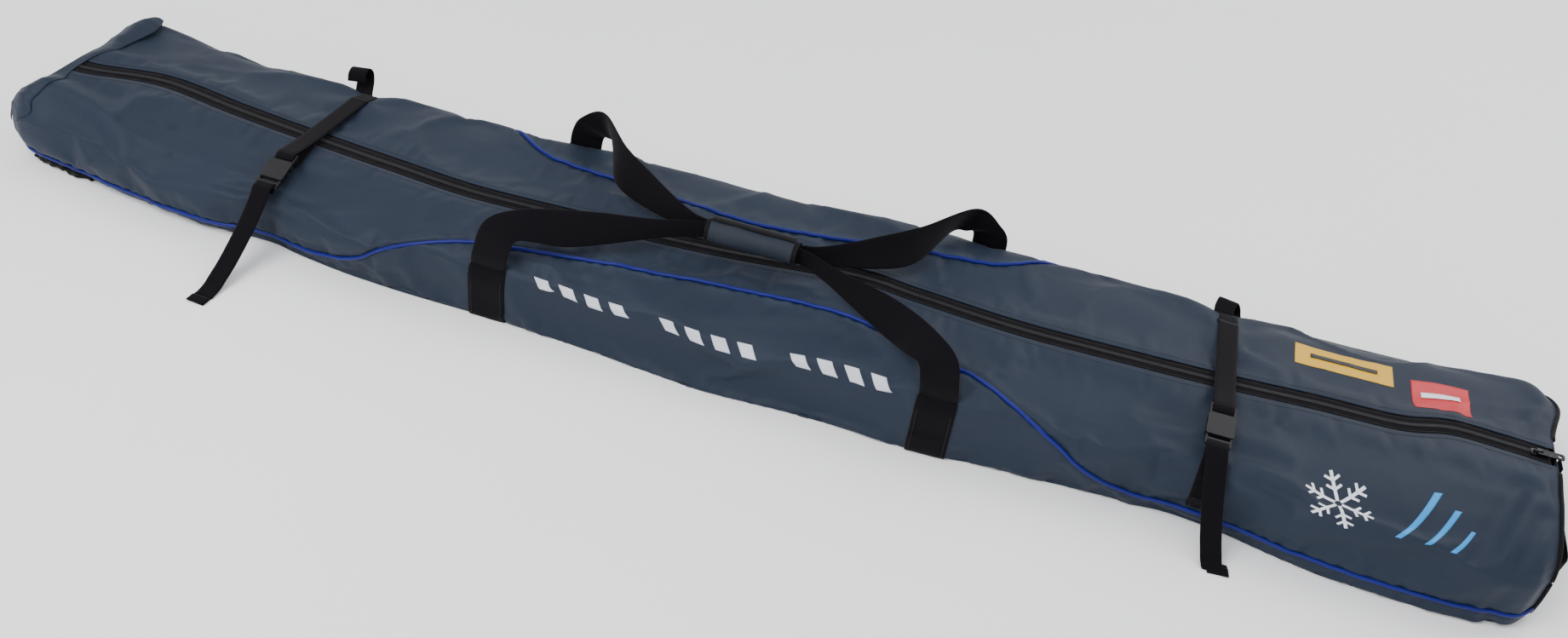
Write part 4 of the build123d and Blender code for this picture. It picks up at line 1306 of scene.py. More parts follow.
    def corner_binding(self) -> None:
        """Gathered end of the base binding at the near corner of the narrow end."""
        start = -self.shell.form.length / 2 + 0.020
        along = np.linspace(0.0, 1.0, 70)[:, None]
        across = np.linspace(0.0, 1.0, 14)[None, :]
        x = start + self.corner_length * along + 0.0 * across
        low, high = 0.965, 0.84 - 0.03 * np.sin(math.pi * along)
        t = low + (high - low) * across
        crumple = 0.0030 * np.abs(soft_noise(x, t * self.shell.form.girth, 91, 0.020, 0.014))
        lift = 0.0014 + crumple + 0.0022 * np.sin(math.pi * across) * np.sin(math.pi * along)
        grid = self.shell.at(x, -1, t, lift)
        grid[..., 2] = np.maximum(grid[..., 2], 0.0009)  # stays above the floor
        obj = slab("corner_binding", grid, self.fabric)
        settle(obj, BINDING, replaces=["corner_binding_narrow"])


# ---- the zip
@dataclass
class Zip:
    """Tapes, coil, stitching, stops and slider of the full-length zip."""

    shell: Shell
    tape_reach: float = 0.0212
    tape_drop: float = 0.0016
    tape_thickness: float = 0.0009
    tooth_length: float = 0.0036
    tooth_radius: float = 0.00078
    tooth_pitch: float = 0.0019
    end_margin: float = 0.0045
    stitch_pitch: float = 0.0036
    stitch_radius: float = 0.00036
    parting: float = 0.0004  # from the zip's middle to the edge of a tape
    tape_dish: float = 0.0010
    tape_ripple: float = 0.00035
    tape_seam: float = 0.0118  # from the zip's middle to the stitches in the tape
    hem_seam: float = 0.0032  # from the panel's edge to the stitches in its hem

    def line(self, spacing: float) -> Array:
        """Middle line of the zip, half way between the two top panels' edges."""
        reach = self.shell.form.length / 2 - self.end_margin
        x = np.arange(-reach, reach, spacing)
        return (self.shell.at(x, -1, 0.0) + self.shell.at(x, 1, 0.0)) / 2

    def build(self) -> None:
        """Build every piece."""
        for side in (-1, 1):
            self.tape(side)
            self.coil(side)
            self.seams(side)
        for node in ("zip_stops", "zip_slider", "zip_pull_tab"):
            dress(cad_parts[node], ENAMEL)
        self.end_tab()

    def tape(self, side: int) -> None:
        """Tape: a strip from the parting line to below the top panel's edge."""
        line = self.line(0.005)
        share = np.linspace(0.0, 1.0, 9)[None, :]
        reach = side * (self.parting + (self.tape_reach - self.parting) * share)
        grid = np.repeat(line[:, None], 9, axis=1)
        grid[..., 1] += reach
        ripple = self.tape_ripple * soft_noise(grid[..., 0], grid[..., 1], 21 + side, 0.03, 0.02)
        grid[..., 2] += -self.tape_drop - self.tape_dish * share ** 2 + ripple * np.sin(math.pi * share)
        obj = slab(f"zip_tape_{SIDE_NAME[side]}.woven", grid, self.tape_thickness, outward=side > 0)
        settle(obj, TAPE, replaces=[f"zip_tape_{SIDE_NAME[side]}"])

    def coil(self, side: int) -> None:
        """Turns of one half of the coil, set half a pitch from the other half's."""
        line = even_path(self.line(0.004), self.tooth_pitch)
        line = line + np.array([side * self.tooth_pitch / 4, 0.0, 0.0])
        centres = line[3:-3] + np.array([0.0, side * self.tooth_length * 0.40, -0.0007])
        obj = beads(f"zip_coil_{SIDE_NAME[side]}.turns", centres, same(ACROSS, len(centres)),
                    same(UP, len(centres)), self.tooth_length, self.tooth_radius)
        settle(obj, COIL, replaces=[f"zip_coil_{SIDE_NAME[side]}"])

    def seams(self, side: int) -> None:
        """Two rows of stitches: through the tape, and along the panel's turned edge."""
        line = self.line(0.006)
        edge = self.shell.at(line[:, 0], side, self.hem_seam / self.shell.form.girth, 0.0002)
        line = line + np.array([0.0, side * self.tape_seam, -0.0011])
        for path, finish, name in ((line, THREAD, "tape"), (edge, THREAD_DARK, "hem")):
            centres, along = stitch_line(path, self.stitch_pitch)
            obj = beads(f"zip_{name}_stitches_{SIDE_NAME[side]}", centres, along,
                        same(UP, len(centres)), self.stitch_pitch * 0.74, self.stitch_radius)
            settle(obj, finish)

    def end_tab(self) -> None:
        """Folded fabric tab over the end of the zip, on the wide end panel."""
        low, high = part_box("zip_end_tab")
        rows = np.linspace(0.0, 1.0, 40)
        reach = high.x - low.x
        height = high.z - low.z
        # the path goes up the front, over a tight fold and down the back
        fold, back = 0.42, 0.58
        angle = np.clip((rows - fold) / 0.16, 0.0, 1.0) * math.pi
        drop = np.clip(rows / fold, 0, 1) - np.clip((rows - back) / fold, 0, 1)
        x = (low.x + high.x) / 2 + 0.0035 + reach * 0.30 * np.cos(angle)
        z = low.z + 0.001 + (height - 0.004) * drop + 0.0012 * np.sin(angle)
        middle = np.stack([x, np.full_like(x, (low.y + high.y) / 2), z], axis=1)
        spread = same(ACROSS, len(x)) * ((high.y - low.y) / 2 - 0.001)
        obj = slab("zip_end_tab.folded", web_grid(middle, spread), self.tape_thickness)
        settle(obj, BINDING, replaces=["zip_end_tab"])


# ---- webbing: carry belts, arms and grip
BOX_PITCH, BOX_STITCH = 0.0034, 0.0026
WEB_THREAD = 0.00042  # radius of the thread in webbing
ON_WEB = 0.0003  # from the webbing's face to the middle of its stitches


def box_stitch(name: str, corner: Array, along: Array, across: Array, up: Array,
               size: tuple[float, float]) -> bpy.types.Object:
    """Stitched box with a cross in it, on flat webbing.

    Args:
        name: Name of the piece.
        corner: Middle of the box.
        along: Unit vector along the webbing.
        across: Unit vector across it.
        up: Unit normal.
        size: Length and width of the box.

    Returns:
        The piece, not yet finished.
    """
    a, b = along * size[0] / 2, across * size[1] / 2
    corners = [corner - a - b, corner + a - b, corner + a + b, corner - a + b]
    runs = [(0, 1), (1, 2), (2, 3), (3, 0), (0, 2), (1, 3)]
    centres, ways = zip(*[stitch_line(np.linspace(corners[i], corners[j], 12), BOX_PITCH)
                          for i, j in runs])
    middle = np.vstack(centres)
    return beads(name, middle, np.vstack(ways), same(up, len(middle)), BOX_STITCH, WEB_THREAD)


@dataclass
class CarryHandle:
    """Two belts round the bag, four arms of the same webbing, and the wrapped grip."""

    shell: Shell
    width: float = 0.050
    thickness: float = 0.0016
    belt_top: float = 0.45
    belt_lift: float = 0.0017
    grip_x: float = 0.012
    grip_y: float = -0.030
    grip_z: float = 0.143
    grip_length: float = 0.128
    grip_radius: float = 0.017
    web_offset: float = 0.003
    web_height: float = 0.024
    belt_pitch: float = 0.0040
    belt_stitch: float = 0.0030
    belt_margin: float = 0.004  # from the belt's edge to its stitches
    arm_cup: float = 0.0022
    pad_margin: float = 0.0035  # from the grip's end to the pad's end
    pad_section: float = 0.05  # how far from round the pad's section is, and its turn
    pad_turn: float = 0.6
    pad_unroll: float = 0.016
    ring_width: float = 0.0064
    ring_gap: float = 0.010  # half angle between the two ends of a ring's tape
    flap_from: float = 64.0  # degrees round the grip
    flap_to: float = 199.0
    flap_margin: float = 0.0062
    flap_lift: float = 0.0009

    def build(self) -> None:
        """Build every piece."""
        for end in (-1, 1):
            self.belt(end)
            for side in (-1, 1):
                self.arm(end, side)
        self.grip()

    def belt(self, end: int) -> None:
        """Belt: lies on the near side, goes below the base and up the far side."""
        x0 = end * self.shell.form.belt_x
        across = np.linspace(-self.width / 2, self.width / 2, 11)[None, :]
        t = np.linspace(self.belt_top, 1.0, 70)[:, None]
        parts = []
        for side in (-1, 1):
            x = x0 + across + 0.0 * t
            wave = soft_noise(x, t * self.shell.form.girth, 33 + side, 0.09, 0.12)
            lift = (self.belt_lift + 0.0009 * wave) * (1.0 - ease((t - 0.85) / 0.15) * 0.4)
            part = self.shell.at(x, side, t + 0.0 * x, lift)
            parts.append(smooth_rows(part, 4))
        low = self.thickness / 2 + 0.0001
        share = np.linspace(0.0, 1.0, 24)[1:-1, None, None]
        under = parts[0][-1:] * (1 - share) + parts[1][-1:] * share
        under[..., 2] = low
        grid = np.vstack([parts[0], under, parts[1][::-1]])
        grid[..., 2] = np.maximum(grid[..., 2], low)
        obj = slab(f"belt_{END_NAME[end]}", grid, self.thickness)
        settle(obj, WEBBING, replaces=[f"carry_belt_{END_NAME[end]}"])
        self.belt_stitches(end)

    def belt_stitches(self, end: int) -> None:
        """Two rows of stitches that sew the belt to each side of the bag."""
        for side in (-1, 1):
            centres, ways = [], []
            for edge in (-1, 1):
                x = end * self.shell.form.belt_x + edge * (self.width / 2 - self.belt_margin)
                t = np.linspace(self.belt_top + 0.10, 0.93, 40)
                path = self.shell.at(x, side, t, self.belt_lift + self.thickness / 2 + 0.0005)
                centre, way = stitch_line(path, self.belt_pitch)
                centres.append(centre)
                ways.append(way)
            centre = np.vstack(centres)
            up = unit(centre * np.array([0.0, 1.0, 0.3]))
            obj = beads(f"belt_stitches_{SIDE_NAME[side]}_{END_NAME[end]}", centre,
                        np.vstack(ways), up, self.belt_stitch, WEB_THREAD)
            settle(obj, THREAD_DARK)

    def arm_rows(self, end: int, side: int) -> list[tuple[float, ...]]:
        """Control rows of an arm: x, y, z of its middle, then its half width vector.

        It leaves the belt upright, folds over the top edge, turns on to its own edge and
        ends doubled in the grip.
        """
        x0 = end * self.shell.form.belt_x
        grip_end = self.grip_x + end * (self.grip_length / 2 + 0.001)
        y_skin, z_skin = (float(v) for v in self.shell.at(x0, side, self.belt_top, self.belt_lift)[1:])
        below = self.shell.at(x0, side, self.belt_top + 0.05, self.belt_lift)
        y_skin = abs(y_skin)
        web_y = self.grip_y + side * self.web_offset
        h = self.width / 2
        g = self.grip_z
        root = [(0.00, float(below[1]), float(below[2]), (1.0, 0.0, 0.0)),
                (0.00, side * y_skin, z_skin, (1.0, 0.0, 0.0)),
                (0.01, side * (y_skin + 0.001), z_skin + 0.022, (1.0, 0.0, 0.04))]
        standing = [  # far arms: share of the way to the grip, y, z, half width
                (0.06, side * (y_skin - 0.008), g - 0.014, (0.92, 0.12, 0.36)),
                (0.18, side * (y_skin - 0.024), g + 0.001, (0.55, 0.40, 0.73)),
                (0.38, web_y + side * 0.084, g + 0.005, (-0.10, 0.55, 0.80)),
                (0.62, web_y + side * 0.042, g + 0.000, (-0.30, 0.50, 0.80)),
                (0.88, web_y + side * 0.008, g - 0.001, (-0.10, 0.20, 0.70))]
        lying = [  # near arms
                (0.05, side * (y_skin - 0.008), g - 0.004, (0.90, -side * 0.10, 0.30)),
                (0.16, side * (y_skin - 0.026), g + 0.002, (0.62, -side * 0.25, 0.60)),
                (0.36, web_y + side * 0.076, g - 0.002, (0.15, -side * 0.35, 0.80)),
                (0.68, web_y + side * 0.034, g - 0.003, (0.0, -side * 0.30, 0.66)),
                (0.90, web_y + side * 0.006, g - 0.002, (0.0, -side * 0.08, 0.54))]
        last = (1.00, web_y, g, (0.0, 0.0, self.web_height / self.width))
        rows = root + (standing if side > 0 else lying) + [last]
        return [(x0 + (grip_end - x0) * share, y, z, end * s[0] * h, s[1] * h, s[2] * h)
                for share, y, z, s in rows]

    def arm(self, end: int, side: int) -> None:
        """One arm, bent between the bag and the grip."""
        rows = spline(self.arm_rows(end, side), 16)[6:]
        rows = even_path(rows, 0.004)
        length = np.linalg.norm(rows[:, 3:], axis=1, keepdims=True)
        share = np.linspace(0.0, 1.0, len(rows))[:, None]
        gather = ease((share - (0.55 if side > 0 else 0.45)) / 0.45)
        wanted = self.width / 2 * (1.0 - gather) + self.web_height / 2 * gather
        spread = rows[:, 3:] / length * np.maximum(wanted * 0.96, self.web_height / 2)
        grid = web_grid(rows[:, :3], spread, 11)
        cup = 1.0 - np.linspace(-1.0, 1.0, 11)[None, :] ** 2
        bulge = self.arm_cup * cup * np.sin(math.pi * share)
        grid = grid + grid_normals(grid) * bulge[..., None]
        obj = slab(f"arm_{SIDE_NAME[side]}_{END_NAME[end]}", grid, self.thickness,
                   outward=(end * side) > 0)
        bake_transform(obj)
        settle(obj, WEBBING, body=None,
               replaces=[f"handle_arm_{SIDE_NAME[side]}_{END_NAME[end]}"])

    def grip(self) -> None:
        """Padded sleeve with its two bound ends, the webbings in it and its closing flap."""
        x = np.linspace(-1.0, 1.0, 90)[:, None]
        angle = np.linspace(0.0, 2 * math.pi, 56, endpoint=False)[None, :]
        half = self.grip_length / 2 - self.pad_margin
        pad = self.grip_radius * (0.90 + 0.07 * (1 - np.abs(x) ** 5))
        squeeze = 1.0 + self.pad_section * np.cos(2 * angle + self.pad_turn)
        round_ = angle * self.pad_unroll  # metres round the pad
        wrinkle = 0.00050 * crease_noise(x * half, round_, 51, 0.030, 0.018)
        radius = pad * squeeze - wrinkle
        inner = np.full_like(radius[:1], self.grip_radius * 0.72)
        rows = np.vstack([inner, radius, inner])
        xs = np.vstack([x[:1], x, x[-1:]])
        points = self.round_grip(self.grip_x + xs * half, angle, rows)
        count = points.shape[1]
        faces = grid_faces(len(rows), count, wrap=True)
        caps = end_caps(len(rows), count)
        uv = np.stack([np.broadcast_to(xs * half, rows.shape), round_ + rows * 0], axis=-1)
        sleeve = add_mesh("grip_pad", points.reshape(-1, 3), faces, uv.reshape(-1, 2), caps)
        settle(sleeve, GRIP, "grip", ["grip_sleeve"])
        self.grip_rings()
        self.grip_webs()
        self.flap()

    def round_grip(self, x: Array, angle: Array, radius: Array) -> Array:
        """Points about the grip's axis."""
        x, angle, radius = np.broadcast_arrays(x, angle, radius)
        return np.stack([x, self.grip_y + radius * np.cos(angle),
                         self.grip_z + radius * np.sin(angle)], axis=-1)

    def grip_rings(self) -> None:
        """Binding tape sewn round both ends of the pad."""
        for end in (-1, 1):
            turn = np.linspace(self.ring_gap, 2 * math.pi - self.ring_gap, 57)
            x = self.grip_x + end * (self.grip_length / 2 - self.pad_margin)
            radius = self.grip_radius * (0.945 + 0.03 * np.cos(2 * turn + self.pad_turn))
            middle = self.round_grip(np.full(57, x), turn, radius)
            out = unit(middle - np.array([x, self.grip_y, self.grip_z]))
            profile = slab_profile(self.ring_width, self.thickness, 3, 4)
            obj = sweep(f"grip_ring_{END_NAME[end]}", middle, same(ALONG, 57), out, profile)
            settle(obj, BINDING, "grip", ["grip_bindings"] if end < 0 else ())

    def grip_webs(self) -> None:
        """The two carry webbings inside the grip, folded double."""
        for side in (-1, 1):
            x = np.linspace(-1.0, 1.0, 24) * (self.grip_length / 2 + 0.0030)
            middle = np.stack([self.grip_x + x, np.full(24, self.grip_y + side * self.web_offset),
                               np.full(24, self.grip_z)], axis=1)
            spread = same(UP, 24) * self.web_height / 2
            obj = slab(f"grip_web_{SIDE_NAME[side]}", web_grid(middle, spread), 0.0031)
            settle(obj, WEBBING, "grip", [f"grip_webbing_{SIDE_NAME[side]}"])

    def flap(self) -> None:
        """Closing flap over the top of the grip, its free edge bound."""
        start, stop = math.radians(self.flap_from), math.radians(self.flap_to)
        angle = np.linspace(start, stop, 40)[None, :]
        x = np.linspace(-1.0, 1.0, 60)[:, None]
        half = self.grip_length / 2 - self.flap_margin
        wave = soft_noise(x * half, angle * 0.018, 57, 0.05, 0.03)
        radius = self.grip_radius + self.flap_lift + 0.0005 * wave
        grid = self.round_grip(self.grip_x + x * half, angle, radius)
        cover = slab("grip_flap_cover", grid, 0.0012, outward=False)
        settle(cover, GRIP, "grip_flap", ["grip_flap"])
        hem = np.linspace(start - math.radians(3.0), start + math.radians(36.0), 12)[None, :]
        edge = self.round_grip(self.grip_x + x * half, hem, self.grip_radius + 0.0025)
        bound = slab("grip_flap_binding", edge, 0.0020, outward=False)
        settle(bound, BINDING, "grip_flap")


# ---- webbing: compression straps and end handle
# points of the curl at the end of each far tail: x from the strap's own, y, z
TAIL_CURLS = {
    -1: [[-0.008, 0.132, 0.088], [-0.016, 0.150, 0.092], [-0.022, 0.166, 0.100],
         [-0.026, 0.172, 0.112], [-0.027, 0.163, 0.121], [-0.026, 0.150, 0.118],
         [-0.024, 0.143, 0.108]],
    1: [[-0.004, 0.140, 0.106], [-0.006, 0.158, 0.110], [-0.002, 0.176, 0.114],
        [0.004, 0.180, 0.106], [0.008, 0.172, 0.096], [0.012, 0.158, 0.100]]}


@dataclass
class CompressionStraps:
    """Two 25 mm straps over the bag, each with a side-release buckle and free tails."""

    shell: Shell
    width: float = 0.025
    thickness: float = 0.0016
    lift: float = 0.0014
    anchor: float = 0.74
    bridge_rise: float = 0.0070
    bridge_half: float = 0.016
    body_lock: float = 0.031  # from the body's middle to the bar that the near strap turns on
    insert_lock: float = 0.0365  # from the body's middle back to the insert's bar
    lock_top: float = 0.0044  # above the buckle's plane, where webbing leaves a bar
    point_step: float = 0.0022
    tail_slant: tuple[float, float] = (-0.014, 0.040)  # in x, narrow and wide
    hem_points: int = 7

    def build(self) -> None:
        """Build every piece."""
        for end in (-1, 1):
            self.far_strap(end)
            self.near_strap(end)
            self.hardware(end)
            self.anchor_stitches(end)

    def hardware(self, end: int) -> None:
        """Buckle halves and prongs keep their CAD meshes under the acetal finish."""
        for node in ("buckle_body", "buckle_insert", "buckle_prong_left", "buckle_prong_right"):
            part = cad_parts[f"{node}_{END_NAME[end]}"]
            dress(part, ACETAL)

    def frames(self, end: int) -> tuple[Array, Array, Array]:
        """Middle of the buckle, the way down the near side and the way off the bag."""
        low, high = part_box(f"buckle_body_{END_NAME[end]}")
        near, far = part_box(f"buckle_insert_{END_NAME[end]}")
        x = (low.x + high.x) / 2
        # both halves lie in one plane, so their boxes' middles give its slope
        a = np.array([x, (low.y + high.y) / 2, (low.z + high.z) / 2])
        b = np.array([x, (near.y + far.y) / 2, (near.z + far.z) / 2])
        down = unit(a - b)
        off = unit(np.cross(ALONG, down))
        if off[2] < 0:
            off = -off
        return a, down, off

    def lay(self, name: str, line: Array, lean: Array | float = 0.0,
            replaces: Sequence[str] = ()) -> None:
        """Webbing along a line whose width runs along x, leaning by an angle about z."""
        lean = np.broadcast_to(lean, (len(line),))
        spread = np.stack([np.cos(lean), np.sin(lean), np.zeros(len(line))], axis=1)
        grid = web_grid(line, spread * self.width / 2, 7)
        obj = slab(name, grid, self.thickness, outward=False)
        settle(obj, WEBBING, replaces=replaces)

    def near_strap(self, end: int) -> None:
        """Near webbing: from its sewn end up the side, through the lock, and down as a tail."""
        x0 = end * self.shell.form.strap_x
        body, down, off = self.frames(end)
        outer = body + down * self.body_lock
        t = np.linspace(self.anchor, 0.40, 26)
        up = self.shell.at(np.full(26, x0), -1, t, self.lift)
        up = up[up[:, 1] < outer[1] - 0.006]
        # under the bar, round it and out over it: metres back from the bar, metres off it
        lock = [outer - down * back + off * above for back, above in (
            (0.0, -0.0045), (0.008, -0.0040), (0.0128, -0.0008), (0.0128, 0.0020),
            (0.008, 0.0042), (-0.002, self.lock_top))]
        low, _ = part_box(f"strap_near_{END_NAME[end]}")
        edge = float(self.shell.at(x0, -1, self.shell.form.upper_share)[1])
        start = lock[-1]
        reach = abs(low.y - edge)
        slant = self.tail_slant[end > 0]
        tail = []
        # share of the tail's length, height as a share of the lock's
        for share, height in ((0.10, 0.86), (0.28, 0.58), (0.52, 0.27), (0.66, 0.13), (0.74, 0.055),
                              (0.84, 0.010)):
            y = start[1] - 0.010 + (edge - start[1]) * min(share / 0.24, 1.0) * 0.9
            y = y - reach * max(share - 0.10, 0.0) / 0.90
            tail.append([x0 + slant * share, y, max(start[2] * height, self.thickness)])
        tail.append([x0 + slant * 0.92, low.y + 0.020, self.thickness * 0.6])
        tail.append([x0 + slant, low.y + 0.001, self.thickness * 0.75])
        line = even_path(spline(np.vstack([up, lock, tail]), 6), self.point_step)
        share = np.linspace(0.0, 1.0, len(line))
        name = f"strap_near_{END_NAME[end]}"
        self.lay(f"{name}.web", line, 0.10 * end * ease(share * 2 - 1), [name])
        # the tail's end is folded over and sewn: a second layer on its last 13 mm
        self.lay(f"tail_hem_near_{END_NAME[end]}", line[-self.hem_points:] + UP * self.thickness)

    def far_strap(self, end: int) -> None:
        """Far webbing: up the far side, over the zip to the buckle, and back as a tail."""
        x0 = end * self.shell.form.strap_x
        body, down, off = self.frames(end)
        inner = body - down * self.insert_lock
        t = np.linspace(self.anchor, 0.12, 40)
        up = self.shell.at(np.full(40, x0), 1, t, self.lift)
        top = self.shell.at(x0, -1, 0.0)[2] + self.bridge_rise
        middle = self.shell.at(x0, 1, 0.0)[1] - self.shell.form.slot_half
        bridge = [[x0, middle + self.bridge_half, top - 0.001], [x0, middle, top],
                  [x0, middle - self.bridge_half, top]]
        near = self.shell.at(np.full(9, x0), -1, np.linspace(0.13, 0.34, 9), self.lift + 0.0012)
        near = near[near[:, 1] > inner[1] + 0.004]
        # under the insert's bar, round it and back over it, as in near_strap
        lock = [inner + down * ahead + off * above for ahead, above in (
            (0.0, -0.0040), (0.0070, -0.0036), (0.0112, 0.0), (0.0070, 0.0040),
            (-0.001, self.lock_top))]
        line = even_path(spline(np.vstack([up[:-6], bridge, near, lock]), 4), self.point_step)
        name = f"strap_far_{END_NAME[end]}"
        self.lay(f"{name}.web", line, 0.0, [name])
        self.far_tail(end, lock[-1], np.vstack([up[8:-6], bridge, near]))

    def far_tail(self, end: int, start: Array, below: Array) -> None:
        """Tail that lies back over the strap and curls up past the far side."""
        back = below[::-1] + np.array([0.0, 0.0, 0.0024])
        keep = (back[:, 1] > start[1] + 0.010) & (back[:, 1] < 0.120)
        back = back[keep][::3]
        curl = np.array(TAIL_CURLS[end]) + ALONG * end * self.shell.form.strap_x
        line = even_path(spline(np.vstack([start[None], back, curl]), 6), 0.0024)
        share = np.linspace(0.0, 1.0, len(line))
        lean = -end * 0.25 * ease(share * 2.4 - 1.3)
        self.lay(f"strap_tail_far_{END_NAME[end]}", line, lean)

    def anchor_stitches(self, end: int) -> None:
        """Stitched box that sews each strap's end to the bag's side."""
        for side in (-1, 1):
            x0 = end * self.shell.form.strap_x
            spots = self.shell.at(np.full(3, x0), side, np.array([0.66, 0.69, 0.72]),
                                  self.lift + self.thickness / 2 + ON_WEB)
            way = unit(spots[2] - spots[0])
            up = unit(np.cross(ALONG, way))
            up = up if up[1] * side > 0 else -up
            obj = box_stitch(f"strap_box_stitch_{SIDE_NAME[side]}_{END_NAME[end]}",
                             spots[1], way, ALONG, up, (0.017, 0.018))
            settle(obj, THREAD_DARK)


@dataclass
class EndHandle:
    """Webbing loop across the wide end."""

    shell: Shell
    width: float = 0.040
    thickness: float = 0.0016
    stand_off: float = 0.0062  # from the CAD's end face to the webbing's middle at a root
    root: float = 0.030  # length sewn to the end panel, each side
    lean: float = 0.32  # radians that the middle of the loop tips outward

    def build(self) -> None:
        """Build the loop and the stitched boxes at both ends."""
        low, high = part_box("end_handle_loop")
        skin = self.shell.form.length / 2 + self.stand_off
        z = (low.z + high.z) / 2
        near, far = low.y + self.root, high.y - self.root
        reach = high.x - 0.0012
        path = np.array([
            (skin, low.y + 0.001, z), (skin, near - 0.012, z), (skin, near - 0.002, z),
            (skin + 0.010, near + 0.004, z + 0.001), (reach - 0.001, near + 0.014, z + 0.002),
            (reach, near + 0.060, z + 0.001), (reach - 0.001, near + 0.120, z - 0.001),
            (reach - 0.008, near + 0.165, z - 0.001), (skin + 0.008, far - 0.022, z),
            (skin, far - 0.002, z), (skin, far + 0.014, z), (skin, high.y - 0.001, z)])
        line = even_path(spline(path, 12), 0.003)
        share = np.linspace(0.0, 1.0, len(line))
        lean = self.lean * np.sin(math.pi * share) ** 2
        spread = np.stack([np.sin(lean), 0 * lean, np.cos(lean)], axis=1) * self.width / 2
        obj = slab("end_handle_web", web_grid(line, spread), self.thickness, outward=False)
        settle(obj, WEBBING, replaces=["end_handle_loop"])
        for name, y in (("near", (low.y + near) / 2 - 0.001), ("far", (high.y + far) / 2 + 0.001)):
            corner = np.array([skin + self.thickness / 2 + ON_WEB, y, z])
            box = box_stitch(f"end_handle_box_stitch_{name}", corner, ACROSS, UP, ALONG, (0.022, 0.030))
            settle(box, THREAD_DARK)


# ---- prints
@dataclass
class Prints:
    """Plain decorative prints of the maker's own: bars, a snowflake and two blank labels."""

    shell: Shell
    lift: float = 0.00035
    thickness: float = 0.00016
    bar_lift: float = 0.0010  # of a label's bar above the label
    cell: float = 0.002  # size of a print's faces

    def build(self) -> None:
        """Build every print."""
        self.stripes()
        self.snowflake()
        self.slashes()
        self.label("label_yellow", (0.735, 0.863), (0.085, 0.122), INK_YELLOW, INK_DARK)
        self.label("label_red", (0.885, 0.957), (0.040, 0.105), INK_RED, INK_WHITE)

    def across_to_t(self, x: Array, reach: Array) -> Array:
        """Parameter t on the top where the fabric is `reach` from the zip."""
        share = np.linspace(0.0, self.shell.form.upper_share, 200)
        y = self.shell.form.outline(np.full(200, float(np.mean(x))), share)[0]
        return np.interp(reach, y, share)

    def quad(self, name: str, side: int, corners: Sequence[tuple[float, float]], ink: Ink,
             lift: float = 0.0) -> None:
        """Thin print bounded by four corners.

        Args:
            name: Name of the piece.
            side: -1 near, 1 far.
            corners: Four pairs (x, t), in order round the print.
            ink: Its finish.
            lift: Added to the print's height above the fabric.
        """
        a, b, c, d = (np.array(p) for p in corners)
        size_u, size_v = (max(self.gap(*pair) for pair in pairs)
                          for pairs in (((a, b), (d, c)), ((a, d), (b, c))))
        u = np.linspace(0, 1, max(int(size_u / self.cell), 4))[:, None, None]
        v = np.linspace(0, 1, max(int(size_v / self.cell), 4))[None, :, None]
        spot = (a * (1 - u) + b * u) * (1 - v) + (d * (1 - u) + c * u) * v
        grid = self.shell.at(spot[..., 0], side, spot[..., 1], self.lift + lift)
        obj = slab(name, grid, self.thickness, outward=side > 0, round_edges=False)
        settle(obj, ink)

    def gap(self, a: Array, b: Array) -> float:
        """Distance in metres between two (x, t) pairs."""
        return np.hypot((b - a)[0], (b - a)[1] * self.shell.form.girth)

    def stripes(self) -> None:
        """Row of slanted bars along the near side, broken by two gaps."""
        low, high = 0.50, 0.40  # t of a bar's two ends
        for k in range(14):
            if k in (4, 9):
                continue
            x = -0.232 + 0.0355 * k
            self.quad(f"print_bar_{k:02d}", -1, [(x - 0.012, high), (x + 0.008, high),
                                                 (x + 0.020, low), (x, low)], INK_GREY)

    def snowflake(self) -> None:
        """Six-armed flake, each arm a bar with two pairs of side bars."""
        cx, ct = 0.795, 0.36
        size, half = 0.042, 0.0021
        scale = 1 / self.shell.form.girth
        for k in range(6):
            way = math.radians(60 * k + 12)
            d = np.array([math.cos(way), math.sin(way)])
            arms = [(np.zeros(2) + d * 0.004, d * size, half)]
            for share in (0.45, 0.72):
                for turn in (-1, 1):
                    w = way + turn * math.radians(58)
                    e = np.array([math.cos(w), math.sin(w)])
                    arms.append((d * size * share, d * size * share + e * size * 0.26, half * 0.8))
            for j, (start, stop, wide) in enumerate(arms):
                run = unit(stop - start)
                m = np.array([-run[1], run[0]]) * wide
                ring = [start - m, stop - m, stop + m, start + m]
                self.quad(f"print_flake_{k}_{j}", -1, [(cx + p[0], ct + p[1] * scale) for p in ring],
                          INK_WHITE)

    def slashes(self) -> None:
        """Three slanted strokes beside the flake, each shorter than the one before."""
        low, rise = 0.47, 0.26
        for k, (x, long) in enumerate(((0.862, 1.0), (0.895, 0.8), (0.925, 0.55))):
            high = low - rise * long
            ring = [(x, low), (x + 0.007, low), (x + 0.050 * long, high), (x + 0.040 * long, high)]
            self.quad(f"print_stroke_{k}", -1, ring, INK_BLUE)

    def label(self, name: str, xs: tuple[float, float], reach: tuple[float, float],
              ink: Ink, line: Ink) -> None:
        """Blank printed label on the far side with one bar in it."""
        t = self.across_to_t(np.array(xs), np.array(reach))
        middle = (t[0] + t[1]) / 2
        tall = (t[1] - t[0]) * 0.09
        inset = (xs[1] - xs[0]) * 0.16
        for mark, (x0, x1), (t0, t1), shade, lift in (
                (name, xs, t, ink, 0.0),
                (f"{name}_bar", (xs[0] + inset, xs[1] - inset), (middle - tall, middle + tall),
                 line, self.bar_lift)):
            self.quad(mark, 1, [(x0, t0), (x1, t0), (x1, t1), (x0, t1)], shade, lift)


